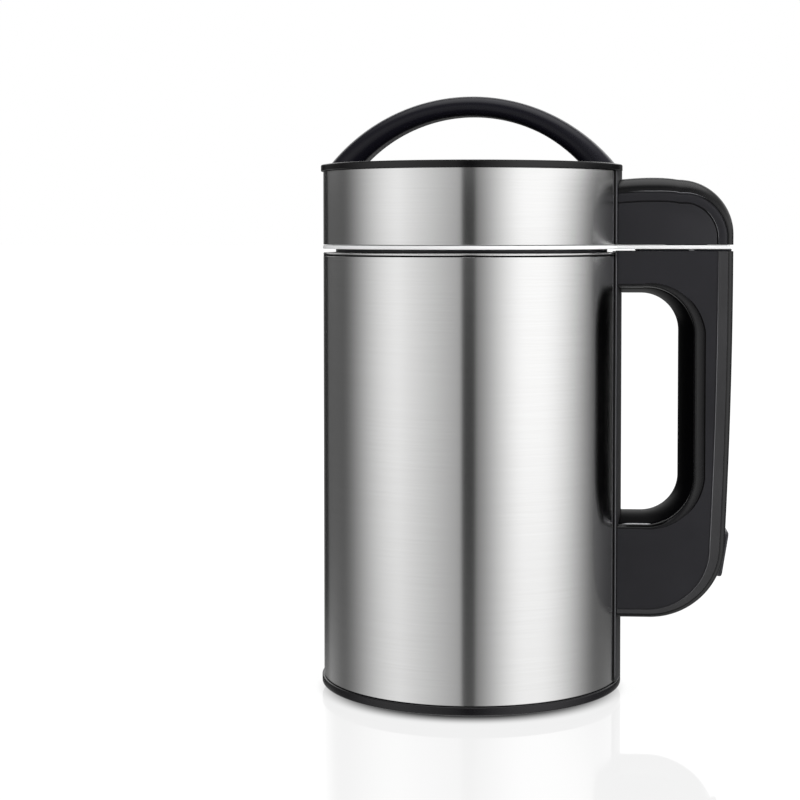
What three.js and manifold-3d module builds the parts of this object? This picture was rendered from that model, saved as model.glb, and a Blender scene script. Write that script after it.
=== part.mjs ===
// A soy milk maker: a stainless cup with a plastic handle, and a lift-off head with motor, blade and
// controls.
// Millimetres, +Z up. The origin is on the cup's axis, on the plane it stands on. The cup handle points
// along +X.

import * as THREE from 'three';
import { mergeVertices } from 'three/addons/utils/BufferGeometryUtils.js';
import Module from 'manifold-3d';

const wasm = await Module();
wasm.setup();

// Clearances, overruns and step counts
const fit = 0.3;
const overrun = 4;
const weldDistance = 0.0005;
const roundSteps = 36;
const innerSteps = 24;
const midSteps = 16;
const smallSteps = 8;
const arcSteps = 8;
const cornerSteps = 4;
const wireSteps = 4;
const filletSteps = 2;

// Cup shell and its rolled top edge
const bodyRadius = 81.9;
const shellWall = 0.8;
const shellHeight = 233.5;
const rolledEdgeWidth = 3.4;
const rolledEdgeHeight = 0.7;
const rolledEdgeRound = 0.5;

// Base: flat foot plate, anti-slip ring set flush in it, skirted cover and screws
const footInset = 11.9;
const footHeight = 3;
const gripRingInset = 4;
const gripRingWidth = 7;
const gripRingDepth = 2;
const skirtHeight = 5.2;
const skirtOverhang = 1.1;
const baseFloor = 2.5;
const baseWall = 2;
const baseWallHeight = 12;
const bossHeight = 4;
const bossRadius = 6;
const baseScrewInset = 22.8;
const baseScrewCount = 3;
const baseScrewRadius = 2;
const baseScrewHeadRadius = 3.6;
const baseScrewHeadHeight = 2.2;
const baseScrewGrip = 8;

// Inner pot, its welded studs, and the heating parts under it
const potInset = 11.1;
const potWall = 0.8;
const potFloor = 39.7;
const potCorner = 12;
const studRadius = 4;
const spreaderClearance = 4;
const spreaderHeight = 3.2;
const heaterRingInset = 9;
const heaterTubeRadius = 4.2;
const heaterOpening = 0.35;
const heaterPinRadius = 1.5;
const heaterPinLength = 7;
const thermostatRadius = 9;
const thermostatHeight = 6;

// Flange strip behind both handles
const flangeThickness = 0.8;
const flangeHalfAngle = 0.295;
const flangeScrewRadius = 1.8;
const flangeScrewHeadRadius = 3.5;
const flangeScrewHeadHeight = 2.4;
const flangeScrewLength = 5;
const upperScrewDrop = 9.5;
const lowerScrewRise = 23;
const bracketDepth = 3;
const bracketHalfWidth = 12;
const bracketMargin = 6;

// Cup handle, seen from the side
const handleHalfWidth = 22;
const handleDepth = 60.4;
const cornerDraw = 3.8;
const cornerRadius = 40.4;
const handleBottom = 43.4;
const handleTopRise = 0.8;
const spineWall = 2.5;
const sideWall = 2.2;
const edgeRound = 3;
const bottomRound = 2;
const sideLip = 8.3;
const bottomLip = 4.3;
const groove = 0.8;
const coverLip = 3.2;

// Finger gap and the grip insert that lines it
const coverBand = 6.1;
const gapBottom = 99;
const gapTopRound = 20.6;
const gapBottomRound = 20.3;
const insertWall = 2.2;
const sideBulge = 7;
const endBulge = 3;
const sideRoll = 6;
const endRoll = 2.4;
const upperBossIn = 11.7;
const upperBossDrop = 10.7;
const lowerBossIn = 16.7;
const lowerBossRise = 22.6;
const coverBossRadius = 3.5;
const coverScrewRadius = 1.5;
const coverScrewHeadRadius = 2.8;
const coverScrewHeadHeight = 1.6;
const coverScrewReach = 9;

// Power inlet, low on the outer side of the handle
const inletProud = 0.8;
const inletRise = 77;
const inletLean = 0.16;
const bezelHalfHeight = 12.5;
const bezelHalfWidth = 16;
const bezelDepth = 8;
const inletHalfHeight = 9.6;
const inletHalfWidth = 13.3;
const inletDepth = 20;
const inletSetBack = 0.5;
const socketWall = 1.8;
const socketDepth = 15;
const bladeLength = 11;
const bladeWidth = 4;
const bladeThickness = 2;
const bladeSpacing = 7;
const bladeOffset = 2.5;

// Coupler between the cup handle and the head's cap
const couplerInset = 24.3;
const couplerHalf = 11;
const couplerPlateHeight = 2.2;
const couplerBlockHeight = 13;
const couplerPlugHeight = 14;
const couplerClearance = 2.3;
const plugApronIn = 5.2;
const plugApronInset = 2;
const plugApronEndInset = 0.9;
const couplerPinRadius = 1.4;
const couplerPinLength = 9;
const couplerPinForward = 4;
const couplerPinSide = 6;

// Heater lead inside the handle
const leadRadius = 1.2;
const leadHole = 3;
const leadBend = 8;
const leadHoleShare = 0.1547;
const leadTopShares = [[0.18, 0.5], [0.27, 0.5]];
const leadLimbShares = [[0.6, 0.62, 0.833], [0.635, 0.745, 0.558], [0.6, 0.87, 0.244], [0.42, 1, 0.039]];
const leadFootShares = [[0, 1, 0.55], [0.328, 0.63, 0.245], [0.653, 0.25, leadHoleShare],
  [0.912, 0, leadHoleShare]];
const leadCavityShares = [[0.779, 0, 0.919], [0.463, 0, 0.512], [0.305, 0, -0.138]];
const leadBaseShares = [[0.932, 0.124, 0.692], [0.706, 0.373, 0.565], [0.537, 0.621, 0.5]];

// Head: trim plate, ring, top cover and its rim
const seamGap = 2;
const trimThickness = 2;
const trimOverhang = 0.3;
const headRingHeight = 40.5;
const rimOverhang = 1.3;
const rimHeight = 3.5;
const rimRound = 0.6;
const lidWall = 2.8;
const lidSkirtWall = 2.3;
const lidSkirtHeight = 10;
const headBaseWall = 2;
const headBaseUpstand = 8;
const headBossRadius = 4;
const headBossOut = 3.6;
const headBossCount = 4;
const headBossTurn = 0.785;
const headScrewRadius = 1.8;
const headScrewHeadRadius = 2.6;
const headScrewHeadHeight = 2.4;
const headScrewGrip = 20;
const headPocketWall = 0.6;

// Carry handle over the lid
const archRise = 37.8;
const archThickness = 11;
const archFootInset = 3.9;
const archFootLength = 18.46;
const archHalfWidth = 11;
const archTurn = -0.09;
const archSteps = 22;

// Cap over the cup handle
const capStartDrop = 8.8;
const capCrownDrop = 6.1;
const capTopDrop = 8.5;
const capCrownIn = 16.7;
const capCorner = 29.4;
const capRound = 7.6;
const capLip = 12.6;

// Neck, shaft column and seals
const neckWall = 0.8;
const neckFlangeMargin = 0.2;
const neckDepth = 36.7;
const neckCorner = 8;
const columnRadius = 19;
const columnBottom = 112;
const columnFillet = 4;
const neckSealThickness = 2;
const neckSealHeight = 6;
const neckSealDrop = 9;
const shaftSealHeight = 8;

// Blade guard
const guardRadius = 36.4;
const guardWall = 1;
const guardBottom = 58;
const guardShoulder = 101;
const guardCollar = 1.5;
const guardCollarTop = 124;
const guardSlots = 8;
const guardSlotWidth = 9;
const guardSlotBottom = 66;
const guardSlotHeight = 24;

// Probes through the neck's floor
const probeReachShare = 0.373;
const probeTurn = 2.6;
const temperatureProbeRadius = 3;
const temperatureProbeBottom = 92;
const levelProbeRadius = 2.5;
const levelProbeLength = 27;
const probeFlangeRadius = 6;
const probeFlangeHeight = 3;
const probeTopHeight = 8;

// Motor
const shaftRadius = 4;
const shaftBottom = 63;
const shaftEnd = 5.9;
const bearingRadius = 9;
const bearingHeight = 5;
const bracketRadius = 36;
const bracketPostRadius = 3;
const bracketPostReach = 31;
const stackRise = 11.2;
const stackHeight = 26;
const stackRadius = 34;
const stackYoke = 4.7;
const poleInside = 22.4;
const poleHalfAngle = 0.864;
const coilHalfAngle = 1.117;
const coilInside = 23.2;
const coilOutside = 28.9;
const coilEndHeight = 4.2;
const airGap = 0.6;
const commutatorRadius = 10;
const fanRadius = 30;
const fanHubRadius = 10;
const fanHeight = 9;
const fanBlades = 8;
const fanBladeThickness = 1.6;

// Blade
const bladeReach = 27;
const cutterWidth = 9;
const cutterThickness = 1.5;
const cutterRise = 70;
const cutterBendShare = 0.5;
const cutterTip = 7;
const cutterCollarRadius = 7;
const cutterCollarHeight = 3;
const nutRadius = 7.5;
const nutHeight = 4.7;

// Boards, keypad, panel and buttons
const boardThickness = 1.6;
const controlBoardHalfLength = 36;
const controlBoardInward = 15;
const controlBoardOutward = 13;
const buttonInset = 28.9;
const buttonCount = 3;
const buttonSpacing = 22;
const buttonRadius = 7;
const buttonProud = 0.6;
const buttonRetainer = 8.5;
const buttonRetainerHeight = 1.4;
const buttonStem = 3;
const buttonStemLength = 2.2;
const keypadHalfLength = 28;
const keypadHalfWidth = 6;
const keypadHeight = 1.2;
const domeRadius = 4.2;
const domeHeight = 3.6;
const domeTopRadius = 2.6;
const domeGap = 0.3;
const panelHalfLength = 38;
const panelHalfWidth = 13;
const panelThickness = 0.8;
const panelRound = 6;
const boardPostSideInset = 5;
const boardPostInset = 6;
const boardPostRadius = 3;
const powerBoardFanGap = 10;
const powerBoardInset = 4.9;
const powerBoardHalfAngle = 0.6;
const powerPostInset = 5;
const powerPostTurn = 0.42;
const relayLength = 20;
const relayWidth = 15;
const relayHeight = 14;
const capacitorRadius = 8;
const capacitorHeight = 20;
const componentReachShare = 0.46;
const componentTurn = 0.24;

const between = (start, end, share) => start + (end - start) * share;

// Levels and radii that follow from the sizes above: cup, base and pot
const shellBottom = footHeight + skirtHeight;
const shellTop = shellBottom + shellHeight;
const shellInside = bodyRadius - shellWall;
const fitRadius = shellInside - fit;
const footRadius = bodyRadius - footInset;
const gripRingOutside = footRadius - gripRingInset;
const gripRingInside = gripRingOutside - gripRingWidth;
const potInside = bodyRadius - potInset;
const potOutside = potInside + potWall;
const potFlangeTop = shellTop - rolledEdgeHeight - fit;
const baseScrewReach = potInside - baseScrewInset;
const spreaderRadius = baseScrewReach - studRadius - spreaderClearance;
const spreaderTop = potFloor - potWall - fit;
const heaterRingRadius = spreaderRadius - heaterRingInset;
const heaterRise = spreaderTop - spreaderHeight - fit - heaterTubeRadius;

// Cup handle, inlet and coupler
const flangeInside = bodyRadius + fit;
const flangeRadius = flangeInside + flangeThickness;
const handleStart = flangeRadius + fit;
const handleTop = shellTop + handleTopRise;
const handleReach = bodyRadius + handleDepth;
const cornerReach = handleReach - cornerDraw;
const cornerX = cornerReach - cornerRadius;
const cornerZ = handleBottom + cornerRadius;
const insideX = bodyRadius - overrun;
const gripReach = handleReach - sideLip - groove - coverBand - sideRoll - sideBulge;
const insertHalfWidth = handleHalfWidth - coverLip - fit;
const leadHoleRise = between(handleBottom, gapBottom, leadHoleShare);
const socketBottom = handleTop - fit - couplerPlateHeight - couplerBlockHeight;
const gapTop = socketBottom - couplerClearance - insertWall - endBulge;
const upperBossX = handleStart + upperBossIn;
const lowerBossX = handleStart + lowerBossIn;
const inletReach = cornerReach + inletProud;
const couplerX = handleReach - couplerInset;
const plugApronStart = handleStart + plugApronIn;
const plugApronHalfWidth = handleHalfWidth - plugApronInset;

// Head, neck and cap
const trimBottom = shellTop + seamGap;
const trimTop = trimBottom + trimThickness;
const headBottom = trimTop + fit;
const lidBottom = trimTop + headRingHeight;
const lidTop = lidBottom + rimHeight;
const lidUnder = lidTop - lidWall;
const rimRadius = bodyRadius + rimOverhang;
const archTop = lidTop + archRise;
const archFootReach = rimRadius - archFootInset;
const capRise = lidTop - capStartDrop;
const capCrownRise = lidTop - capCrownDrop;
const capTop = lidTop - capTopDrop;
const capCrownX = handleStart + capCrownIn;
const neckRadius = potInside - neckSealThickness - 2 * fit;
const neckFloor = shellTop - neckDepth;
const floorTop = neckFloor + neckWall;
const headBossReach = neckRadius + headBossOut;
const neckFlange = headBossReach + headBossRadius + neckFlangeMargin;
const restRingOutside = headBossReach + headScrewHeadRadius + headPocketWall;

// Motor, probes and boards
const lowerBracketTop = floorTop + fit + bearingHeight;
const stackBottom = floorTop + stackRise;
const upperBracketBottom = stackBottom + stackHeight + coilEndHeight + fit + fit;
const fanBottom = upperBracketBottom + bearingHeight + fit;
const shaftTop = fanBottom + fanHeight + shaftEnd;
const probeReach = between(bracketRadius, neckRadius, probeReachShare);
const levelProbeBottom = neckFloor - levelProbeLength;
const buttonY = buttonInset - bodyRadius;
const keypadRise = buttonRetainerHeight + buttonStemLength + domeGap + domeHeight + keypadHeight;
const controlBoardRise = lidUnder - fit - keypadRise - fit - boardThickness;
const controlBoardNear = -buttonY - controlBoardInward;
const controlBoardFar = -buttonY + controlBoardOutward;
const boardPostX = controlBoardHalfLength - boardPostSideInset;
const boardPostY = boardPostInset - controlBoardFar;
const powerBoardInside = fanRadius + powerBoardFanGap;
const powerBoardOutside = bodyRadius - powerBoardInset;
const powerBoardRise = headBottom + headBaseWall + headBaseUpstand;
const powerPostReach = powerBoardOutside - powerPostInset;
const componentReach = between(powerBoardInside, powerBoardOutside, componentReachShare);

// Materials
const steel = new THREE.MeshStandardMaterial({ color: 0xb8b8b6, roughness: 0.32, metalness: 1 });
const polished = new THREE.MeshStandardMaterial({ color: 0xc9c9c7, roughness: 0.16, metalness: 1 });
const aluminium = new THREE.MeshStandardMaterial({ color: 0xb4b6b8, roughness: 0.5, metalness: 1 });
const brass = new THREE.MeshStandardMaterial({ color: 0xc29a4d, roughness: 0.35, metalness: 1 });
const blackSatin = new THREE.MeshStandardMaterial({ color: 0x2b2b2f, roughness: 0.42, metalness: 0 });
const blackGloss = new THREE.MeshStandardMaterial({ color: 0x111113, roughness: 0.14, metalness: 0 });
const whiteTrim = new THREE.MeshStandardMaterial({ color: 0xf0f0f0, roughness: 0.35, metalness: 0 });
const darkRubber = new THREE.MeshStandardMaterial({ color: 0x1d1d1e, roughness: 0.85, metalness: 0 });
const paleRubber = new THREE.MeshStandardMaterial({ color: 0xcfd2d0, roughness: 0.7, metalness: 0 });
const copper = new THREE.MeshStandardMaterial({ color: 0xb36a3c, roughness: 0.4, metalness: 1 });
const boardGreen = new THREE.MeshStandardMaterial({ color: 0x2c5a3a, roughness: 0.6, metalness: 0 });

// Turns a closed geometry into one whose faces point out and whose shared vertices are merged
function welded(geometry) {
  const bare = geometry.clone();
  bare.deleteAttribute('normal');
  bare.deleteAttribute('uv');
  const merged = mergeVertices(bare, weldDistance);
  const place = merged.attributes.position;
  const kept = [];
  let volume = 0;
  const [a, b, c] = [new THREE.Vector3(), new THREE.Vector3(), new THREE.Vector3()];
  for (let i = 0; i < merged.index.count; i += 3) {
    const [p, q, r] = [merged.index.getX(i), merged.index.getX(i + 1), merged.index.getX(i + 2)];
    if (p === q || q === r || r === p) continue;
    kept.push([p, q, r]);
    a.fromBufferAttribute(place, p);
    b.fromBufferAttribute(place, q);
    c.fromBufferAttribute(place, r);
    volume += a.dot(b.clone().cross(c));
  }
  merged.setIndex(kept.flatMap(([p, q, r]) => (volume > 0 ? [p, q, r] : [p, r, q])));
  return merged;
}

function solidOf(geometry) {
  const ready = welded(geometry);
  return new wasm.Manifold(new wasm.Mesh({
    numProp: 3,
    vertProperties: new Float32Array(ready.attributes.position.array),
    triVerts: new Uint32Array(ready.index.array),
  }));
}

function geometryOf(solid) {
  const mesh = solid.getMesh();
  const geometry = new THREE.BufferGeometry();
  geometry.setAttribute('position', new THREE.BufferAttribute(new Float32Array(mesh.vertProperties), 3));
  geometry.setIndex(Array.from(mesh.triVerts));
  return geometry;
}

function joined(first, ...others) {
  return geometryOf(others.reduce((solid, other) => solid.add(solidOf(other)), solidOf(first)));
}

function cut(first, ...tools) {
  return geometryOf(tools.reduce((solid, tool) => solid.subtract(solidOf(tool)), solidOf(first)));
}

function common(first, second) {
  return geometryOf(solidOf(first).intersect(solidOf(second)));
}

// Basic shapes, all built straight in the part's frame
function turned(profile, steps = roundSteps) {
  const points = [...profile, profile[0]].map(([r, z]) => new THREE.Vector2(r, z));
  return new THREE.LatheGeometry(points, steps).rotateX(Math.PI / 2);
}

function rod(radius, bottom, top, x = 0, y = 0, steps = smallSteps) {
  const cylinder = new THREE.CylinderGeometry(radius, radius, top - bottom, steps);
  return cylinder.rotateX(Math.PI / 2).translate(x, y, (top + bottom) / 2);
}

function ring(inside, outside, bottom, top, steps = roundSteps) {
  return turned([[inside, bottom], [outside, bottom], [outside, top], [inside, top]], steps);
}

function block(x0, x1, y0, y1, z0, z1) {
  const box = new THREE.BoxGeometry(x1 - x0, y1 - y0, z1 - z0);
  return box.translate((x0 + x1) / 2, (y0 + y1) / 2, (z0 + z1) / 2);
}

function plate(shape, bottom, top) {
  const extrusion = new THREE.ExtrudeGeometry(shape,
    { depth: top - bottom, bevelEnabled: false, curveSegments: cornerSteps });
  return extrusion.translate(0, 0, bottom);
}

function standing(shape, front, back) {
  const extrusion = new THREE.ExtrudeGeometry(shape,
    { depth: back - front, bevelEnabled: false, curveSegments: arcSteps });
  return extrusion.rotateX(Math.PI / 2).translate(0, back, 0);
}

function roundedRectangle(x0, x1, y0, y1, radius) {
  const shape = new THREE.Shape();
  shape.moveTo(x0 + radius, y0);
  shape.lineTo(x1 - radius, y0);
  shape.absarc(x1 - radius, y0 + radius, radius, -Math.PI / 2, 0);
  shape.lineTo(x1, y1 - radius);
  shape.absarc(x1 - radius, y1 - radius, radius, 0, Math.PI / 2);
  shape.lineTo(x0 + radius, y1);
  shape.absarc(x0 + radius, y1 - radius, radius, Math.PI / 2, Math.PI);
  shape.lineTo(x0, y0 + radius);
  shape.absarc(x0 + radius, y0 + radius, radius, Math.PI, Math.PI * 1.5);
  return shape;
}

// A slice of a ring between two angles, centred on a direction
function sector(inside, outside, halfAngle, bottom, top, direction = 0, steps = arcSteps) {
  const shape = new THREE.Shape();
  shape.absarc(0, 0, outside, direction - halfAngle, direction + halfAngle, false);
  shape.absarc(0, 0, inside, direction + halfAngle, direction - halfAngle, true);
  shape.closePath();
  const extrusion = new THREE.ExtrudeGeometry(shape,
    { depth: top - bottom, bevelEnabled: false, curveSegments: steps });
  return extrusion.translate(0, 0, bottom);
}

// A rod lying along X or along Y
function rodAlongX(radius, x0, x1, y, z, steps = smallSteps) {
  return new THREE.CylinderGeometry(radius, radius, x1 - x0,
    steps).rotateZ(Math.PI / 2).translate((x0 + x1) / 2, y, z);
}

function rodAlongY(radius, y0, y1, x, z, steps = smallSteps) {
  return new THREE.CylinderGeometry(radius, radius, y1 - y0, steps).translate(x, (y0 + y1) / 2, z);
}

function around(count, firstTurn, reach) {
  return Array.from({ length: count }, (_, i) => {
    const turn = firstTurn + (i * 2 * Math.PI) / count;
    return [reach * Math.cos(turn), reach * Math.sin(turn)];
  });
}

// A solid swept through rings of points, with flat ends
function swept(rings) {
  const size = rings[0].length;
  const positions = rings.flat().flatMap((p) => [p.x, p.y, p.z]);
  const faces = [];
  for (let i = 0; i + 1 < rings.length; i += 1) {
    for (let j = 0; j < size; j += 1) {
      const [a, b] = [i * size + j, i * size + ((j + 1) % size)];
      faces.push(a, a + size, b, b, a + size, b + size);
    }
  }
  faces.push(...endFaces(rings[0], 0, false), ...endFaces(rings.at(-1), positions.length / 3 - size, true));
  const geometry = new THREE.BufferGeometry();
  geometry.setAttribute('position', new THREE.Float32BufferAttribute(positions, 3));
  geometry.setIndex(faces);
  return geometry;
}

// Flat faces over one end ring, wound the way the ring runs, or against it
function endFaces(points, offset, reversed) {
  const normal = new THREE.Vector3();
  points.forEach((p, i) => {
    const q = points[(i + 1) % points.length];
    normal.add(p.clone().cross(q));
  });
  normal.normalize();
  const across = points[1].clone().sub(points[0]).normalize();
  const up = normal.clone().cross(across);
  const flat = points.map((p) => new THREE.Vector2(p.dot(across), p.dot(up)));
  return THREE.ShapeUtils.triangulateShape(flat, []).flatMap(([p, q, r]) => {
    const area = flat[q].clone().sub(flat[p]).cross(flat[r].clone().sub(flat[p]));
    return area > 0 !== reversed ? [offset + p, offset + q, offset + r] : [offset + p, offset + r,
      offset + q];
  });
}

// Stations along a curve in the XZ plane: a point, the direction square to the run, and how far the run
// has turned
function station(at, along) {
  const turn = Math.abs(Math.atan2(along.x, -along.y)) / (Math.PI / 2);
  return { at, square: new THREE.Vector2(along.y, -along.x), turn: Math.min(turn, 2 - turn) };
}

function curveStations(curve, steps) {
  return Array.from({ length: steps + 1 },
    (_, i) => station(curve.getPoint(i / steps), curve.getTangent(i / steps)));
}

function arcStations(x, z, radius, from, to, steps) {
  const sense = Math.sign(to - from);
  return Array.from({ length: steps + 1 }, (_, i) => {
    const angle = from + ((to - from) * i) / steps;
    const at = new THREE.Vector2(x + radius * Math.cos(angle), z + radius * Math.sin(angle));
    return station(at, new THREE.Vector2(-Math.sin(angle) * sense, Math.cos(angle) * sense));
  });
}

function offsetPoint({ at, square }, distance) {
  return new THREE.Vector2(at.x + square.x * distance, at.y + square.y * distance);
}

function ringAt(place, section) {
  return section.map(([distance, y]) => {
    const point = offsetPoint(place, distance);
    return new THREE.Vector3(point.x, y, point.y);
  });
}

// The outer edge of the cup handle, from its top down and round to the shell; inward is positive
function handleEdge() {
  const lean = Math.atan2(2 * (handleReach - cornerReach), handleTop - cornerZ);
  const meet = new THREE.Vector2(cornerX + cornerRadius * Math.cos(lean),
    cornerZ - cornerRadius * Math.sin(lean));
  const control = new THREE.Vector2(handleReach, meet.y + (handleReach - meet.x) / Math.tan(lean));
  const side = new THREE.QuadraticBezierCurve(new THREE.Vector2(handleReach, handleTop), control, meet);
  return [
    ...curveStations(side, arcSteps),
    ...arcStations(cornerX, cornerZ, cornerRadius, -lean, -Math.PI / 2, arcSteps).slice(1),
    station(new THREE.Vector2(insideX, handleBottom), new THREE.Vector2(-1, 0)),
  ];
}

// The outer edge of the cap, from the flange over the top and down to the seam; inward is positive
function capEdge() {
  const cornerStart = handleReach - capCorner;
  const crown = new THREE.QuadraticBezierCurve(
    new THREE.Vector2(insideX, capRise),
    new THREE.Vector2(capCrownX, capCrownRise),
    new THREE.Vector2(cornerStart, capTop),
  );
  return [
    ...curveStations(crown, filletSteps),
    ...arcStations(cornerStart, capTop - capCorner, capCorner, Math.PI / 2, 0, arcSteps).slice(1),
    station(new THREE.Vector2(handleReach, headBottom), new THREE.Vector2(0, -1)),
  ];
}

// The finger gap's edge, from the top of the flange round to its bottom; away from the gap is negative
function gapEdge() {
  return [
    station(new THREE.Vector2(insideX, gapTop), new THREE.Vector2(1, 0)),
    ...arcStations(gripReach - gapTopRound, gapTop - gapTopRound, gapTopRound, Math.PI / 2, 0, arcSteps),
    ...arcStations(gripReach - gapBottomRound, gapBottom + gapBottomRound, gapBottomRound, 0, -Math.PI / 2,
      arcSteps),
    station(new THREE.Vector2(insideX, gapBottom), new THREE.Vector2(-1, 0)),
  ];
}

const bulgeAt = (turn) => between(sideBulge, endBulge, turn);
const rollAt = (turn) => between(sideRoll, endRoll, turn);

// A channel section: a rounded back and two side lips
function channelSection(round, lip) {
  const half = [];
  for (let k = 0; k <= filletSteps; k += 1) {
    const turn = (k / filletSteps) * (Math.PI / 2);
    half.push([round * (1 - Math.cos(turn)), handleHalfWidth - round + round * Math.sin(turn)]);
  }
  half.push([lip, handleHalfWidth]);
  half.push([lip, handleHalfWidth - sideWall]);
  half.push([round + groove, handleHalfWidth - sideWall]);
  half.push([spineWall, handleHalfWidth - Math.max(round, sideWall) - groove]);
  const other = half.map(([distance, y]) => [distance, -y]).reverse();
  return [...half, ...other];
}

// Everything that stands on the flange is cut to its round face
function trimmedToFlange(geometry) {
  return cut(geometry, rod(handleStart, -overrun, archTop, 0, 0, 2 * roundSteps));
}

function outlineShape(points) {
  return new THREE.Shape(points);
}

const soyMilkMaker = new THREE.Group();

function piece(name, geometry, material) {
  const mesh = new THREE.Mesh(welded(geometry), material);
  mesh.name = name;
  soyMilkMaker.add(mesh);
}

// Base
function addBase() {
  const screwPlaces = around(baseScrewCount, Math.PI / 2, baseScrewReach);
  const coverBottom = footHeight + fit;
  const coverTop = shellBottom - fit;
  const bossTop = coverBottom + baseFloor + bossHeight;
  const foot = ring(0, footRadius, 0, footHeight);
  const recess = ring(gripRingInside - fit, gripRingOutside + fit, -overrun, gripRingDepth + fit);
  const headPockets = screwPlaces.map(([x, y]) => rod(baseScrewHeadRadius + fit, -overrun,
    baseScrewHeadHeight, x, y));
  const footHoles = screwPlaces.map(([x, y]) => rod(baseScrewRadius + fit, -overrun, footHeight + overrun,
    x, y));
  piece('base_plate', cut(foot, recess, ...headPockets, ...footHoles), blackSatin);
  piece('grip_ring', ring(gripRingInside, gripRingOutside, 0, gripRingDepth), darkRubber);

  const skirtRadius = bodyRadius + skirtOverhang;
  const dish = turned([
    [0, coverBottom], [skirtRadius, coverBottom], [skirtRadius, coverTop], [fitRadius, coverTop],
    [fitRadius, coverBottom + baseWallHeight], [fitRadius - baseWall, coverBottom + baseWallHeight],
    [fitRadius - baseWall, coverBottom + baseFloor], [0, coverBottom + baseFloor],
  ]);
  const bosses = screwPlaces.map(([x, y]) => rod(bossRadius, coverBottom + baseFloor / 2, bossTop, x, y));
  const coverHoles = screwPlaces.map(([x, y]) => rod(baseScrewRadius + fit, 0, bossTop + overrun, x, y));
  piece('base_cover', cut(joined(dish, ...bosses), ...coverHoles), blackSatin);

  screwPlaces.forEach(([x, y], i) => {
    const head = rod(baseScrewHeadRadius, fit, baseScrewHeadHeight - fit, x, y);
    const shank = rod(baseScrewRadius, fit, bossTop + baseScrewGrip, x, y);
    piece(`base_screw_${i + 1}`, joined(head, shank), steel);
  });
  return { screwPlaces, bossTop };
}

// Inner pot with welded studs, and what heats it
function addPot({ screwPlaces, bossTop }) {
  const cornerPoints = (radius, centreX, centreZ, from, to) => Array.from({ length: filletSteps + 1 },
    (_, i) => {
    const angle = from + ((to - from) * i) / filletSteps;
    return [centreX + radius * Math.cos(angle), centreZ + radius * Math.sin(angle)];
  });
  const cornerCentre = potInside - potCorner;
  const pot = turned([
    [0, potFloor - potWall],
    ...cornerPoints(potCorner + potWall, cornerCentre, potFloor + potCorner, -Math.PI / 2, 0),
    [potOutside, potFlangeTop - potWall], [fitRadius, potFlangeTop - potWall], [fitRadius, potFlangeTop],
    [potInside, potFlangeTop],
    ...cornerPoints(potCorner, cornerCentre, potFloor + potCorner, 0, -Math.PI / 2),
    [0, potFloor],
  ]);
  const studs = screwPlaces.map(([x, y]) => rod(studRadius, bossTop + fit, potFloor - potWall / 2, x, y));
  const threads = screwPlaces.map(([x, y]) => rod(baseScrewRadius + fit, 0, bossTop + baseScrewGrip + fit,
    x, y));
  piece('inner_pot', cut(joined(pot, ...studs), ...threads), polished);

  piece('heat_spreader', ring(0, spreaderRadius, spreaderTop - spreaderHeight, spreaderTop, midSteps),
    aluminium);
  piece('thermostat', rod(thermostatRadius, spreaderTop - spreaderHeight - fit - thermostatHeight,
    spreaderTop - spreaderHeight - fit, 0, 0, midSteps), steel);

  const section = new THREE.Shape();
  section.absarc(0, 0, heaterTubeRadius, 0, 2 * Math.PI);
  class HeaterArc extends THREE.Curve {
    getPoint(t, target = new THREE.Vector3()) {
      const angle = heaterOpening + t * 2 * (Math.PI - heaterOpening);
      return target.set(heaterRingRadius * Math.cos(angle), heaterRingRadius * Math.sin(angle), heaterRise);
    }
  }
  const tube = new THREE.ExtrudeGeometry(section,
    { steps: innerSteps, curveSegments: wireSteps, extrudePath: new HeaterArc() });
  const pins = [-1, 1].map((side) => {
    const angle = side * (heaterOpening + heaterTubeRadius / heaterRingRadius / 2);
    const [x, y] = [heaterRingRadius * Math.cos(angle), heaterRingRadius * Math.sin(angle)];
    return rod(heaterPinRadius, heaterRise - heaterTubeRadius - heaterPinLength, heaterRise, x, y);
  });
  piece('heating_ring', joined(tube, ...pins), steel);
}

// Outer shell with the spot-welded bracket that takes the handle's screws
function addShell() {
  const rollX = bodyRadius - rolledEdgeRound;
  const wall = turned([
    [shellInside, shellBottom], [bodyRadius, shellBottom], [bodyRadius, shellTop - rolledEdgeRound],
    [rollX, shellTop], [bodyRadius - rolledEdgeWidth, shellTop],
    [bodyRadius - rolledEdgeWidth, shellTop - rolledEdgeHeight], [shellInside, shellTop - rolledEdgeHeight],
  ]);
  const screwLevels = [shellTop - upperScrewDrop, handleBottom + lowerScrewRise];
  const strip = block(shellInside - bracketDepth, bodyRadius, -bracketHalfWidth, bracketHalfWidth,
    screwLevels[1] - bracketMargin, screwLevels[0] + bracketMargin / 2);
  const bracket = common(strip, rod(shellInside + shellWall / 2, 0, shellTop, 0, 0, roundSteps));
  const holes = screwLevels.map((z) => rodAlongX(flangeScrewRadius + fit, potOutside, bodyRadius + overrun,
    0, z));
  const leadPass = rodAlongX(leadHole, potOutside, bodyRadius + overrun, 0, leadHoleRise);
  piece('body_shell', cut(joined(wall, bracket), ...holes, leadPass), steel);

  const flange = sector(flangeInside, flangeRadius, flangeHalfAngle, shellBottom + fit, handleTop - fit);
  piece('handle_flange', cut(flange, ...holes, leadPass), blackSatin);
  ['upper', 'lower'].forEach((name, i) => {
    const z = screwLevels[i];
    const headEnd = handleStart + flangeScrewHeadHeight;
    const head = rodAlongX(flangeScrewHeadRadius, handleStart, headEnd, 0, z);
    const shank = rodAlongX(flangeScrewRadius, bodyRadius - flangeScrewLength, headEnd, 0, z);
    piece(`flange_screw_${name}`, joined(head, shank), steel);
  });
}

// Power inlet, built lying along X at the origin and then leaned to its place
function placedInlet(geometry) {
  return geometry.rotateY(inletLean).translate(inletReach, 0, inletRise);
}

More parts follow.
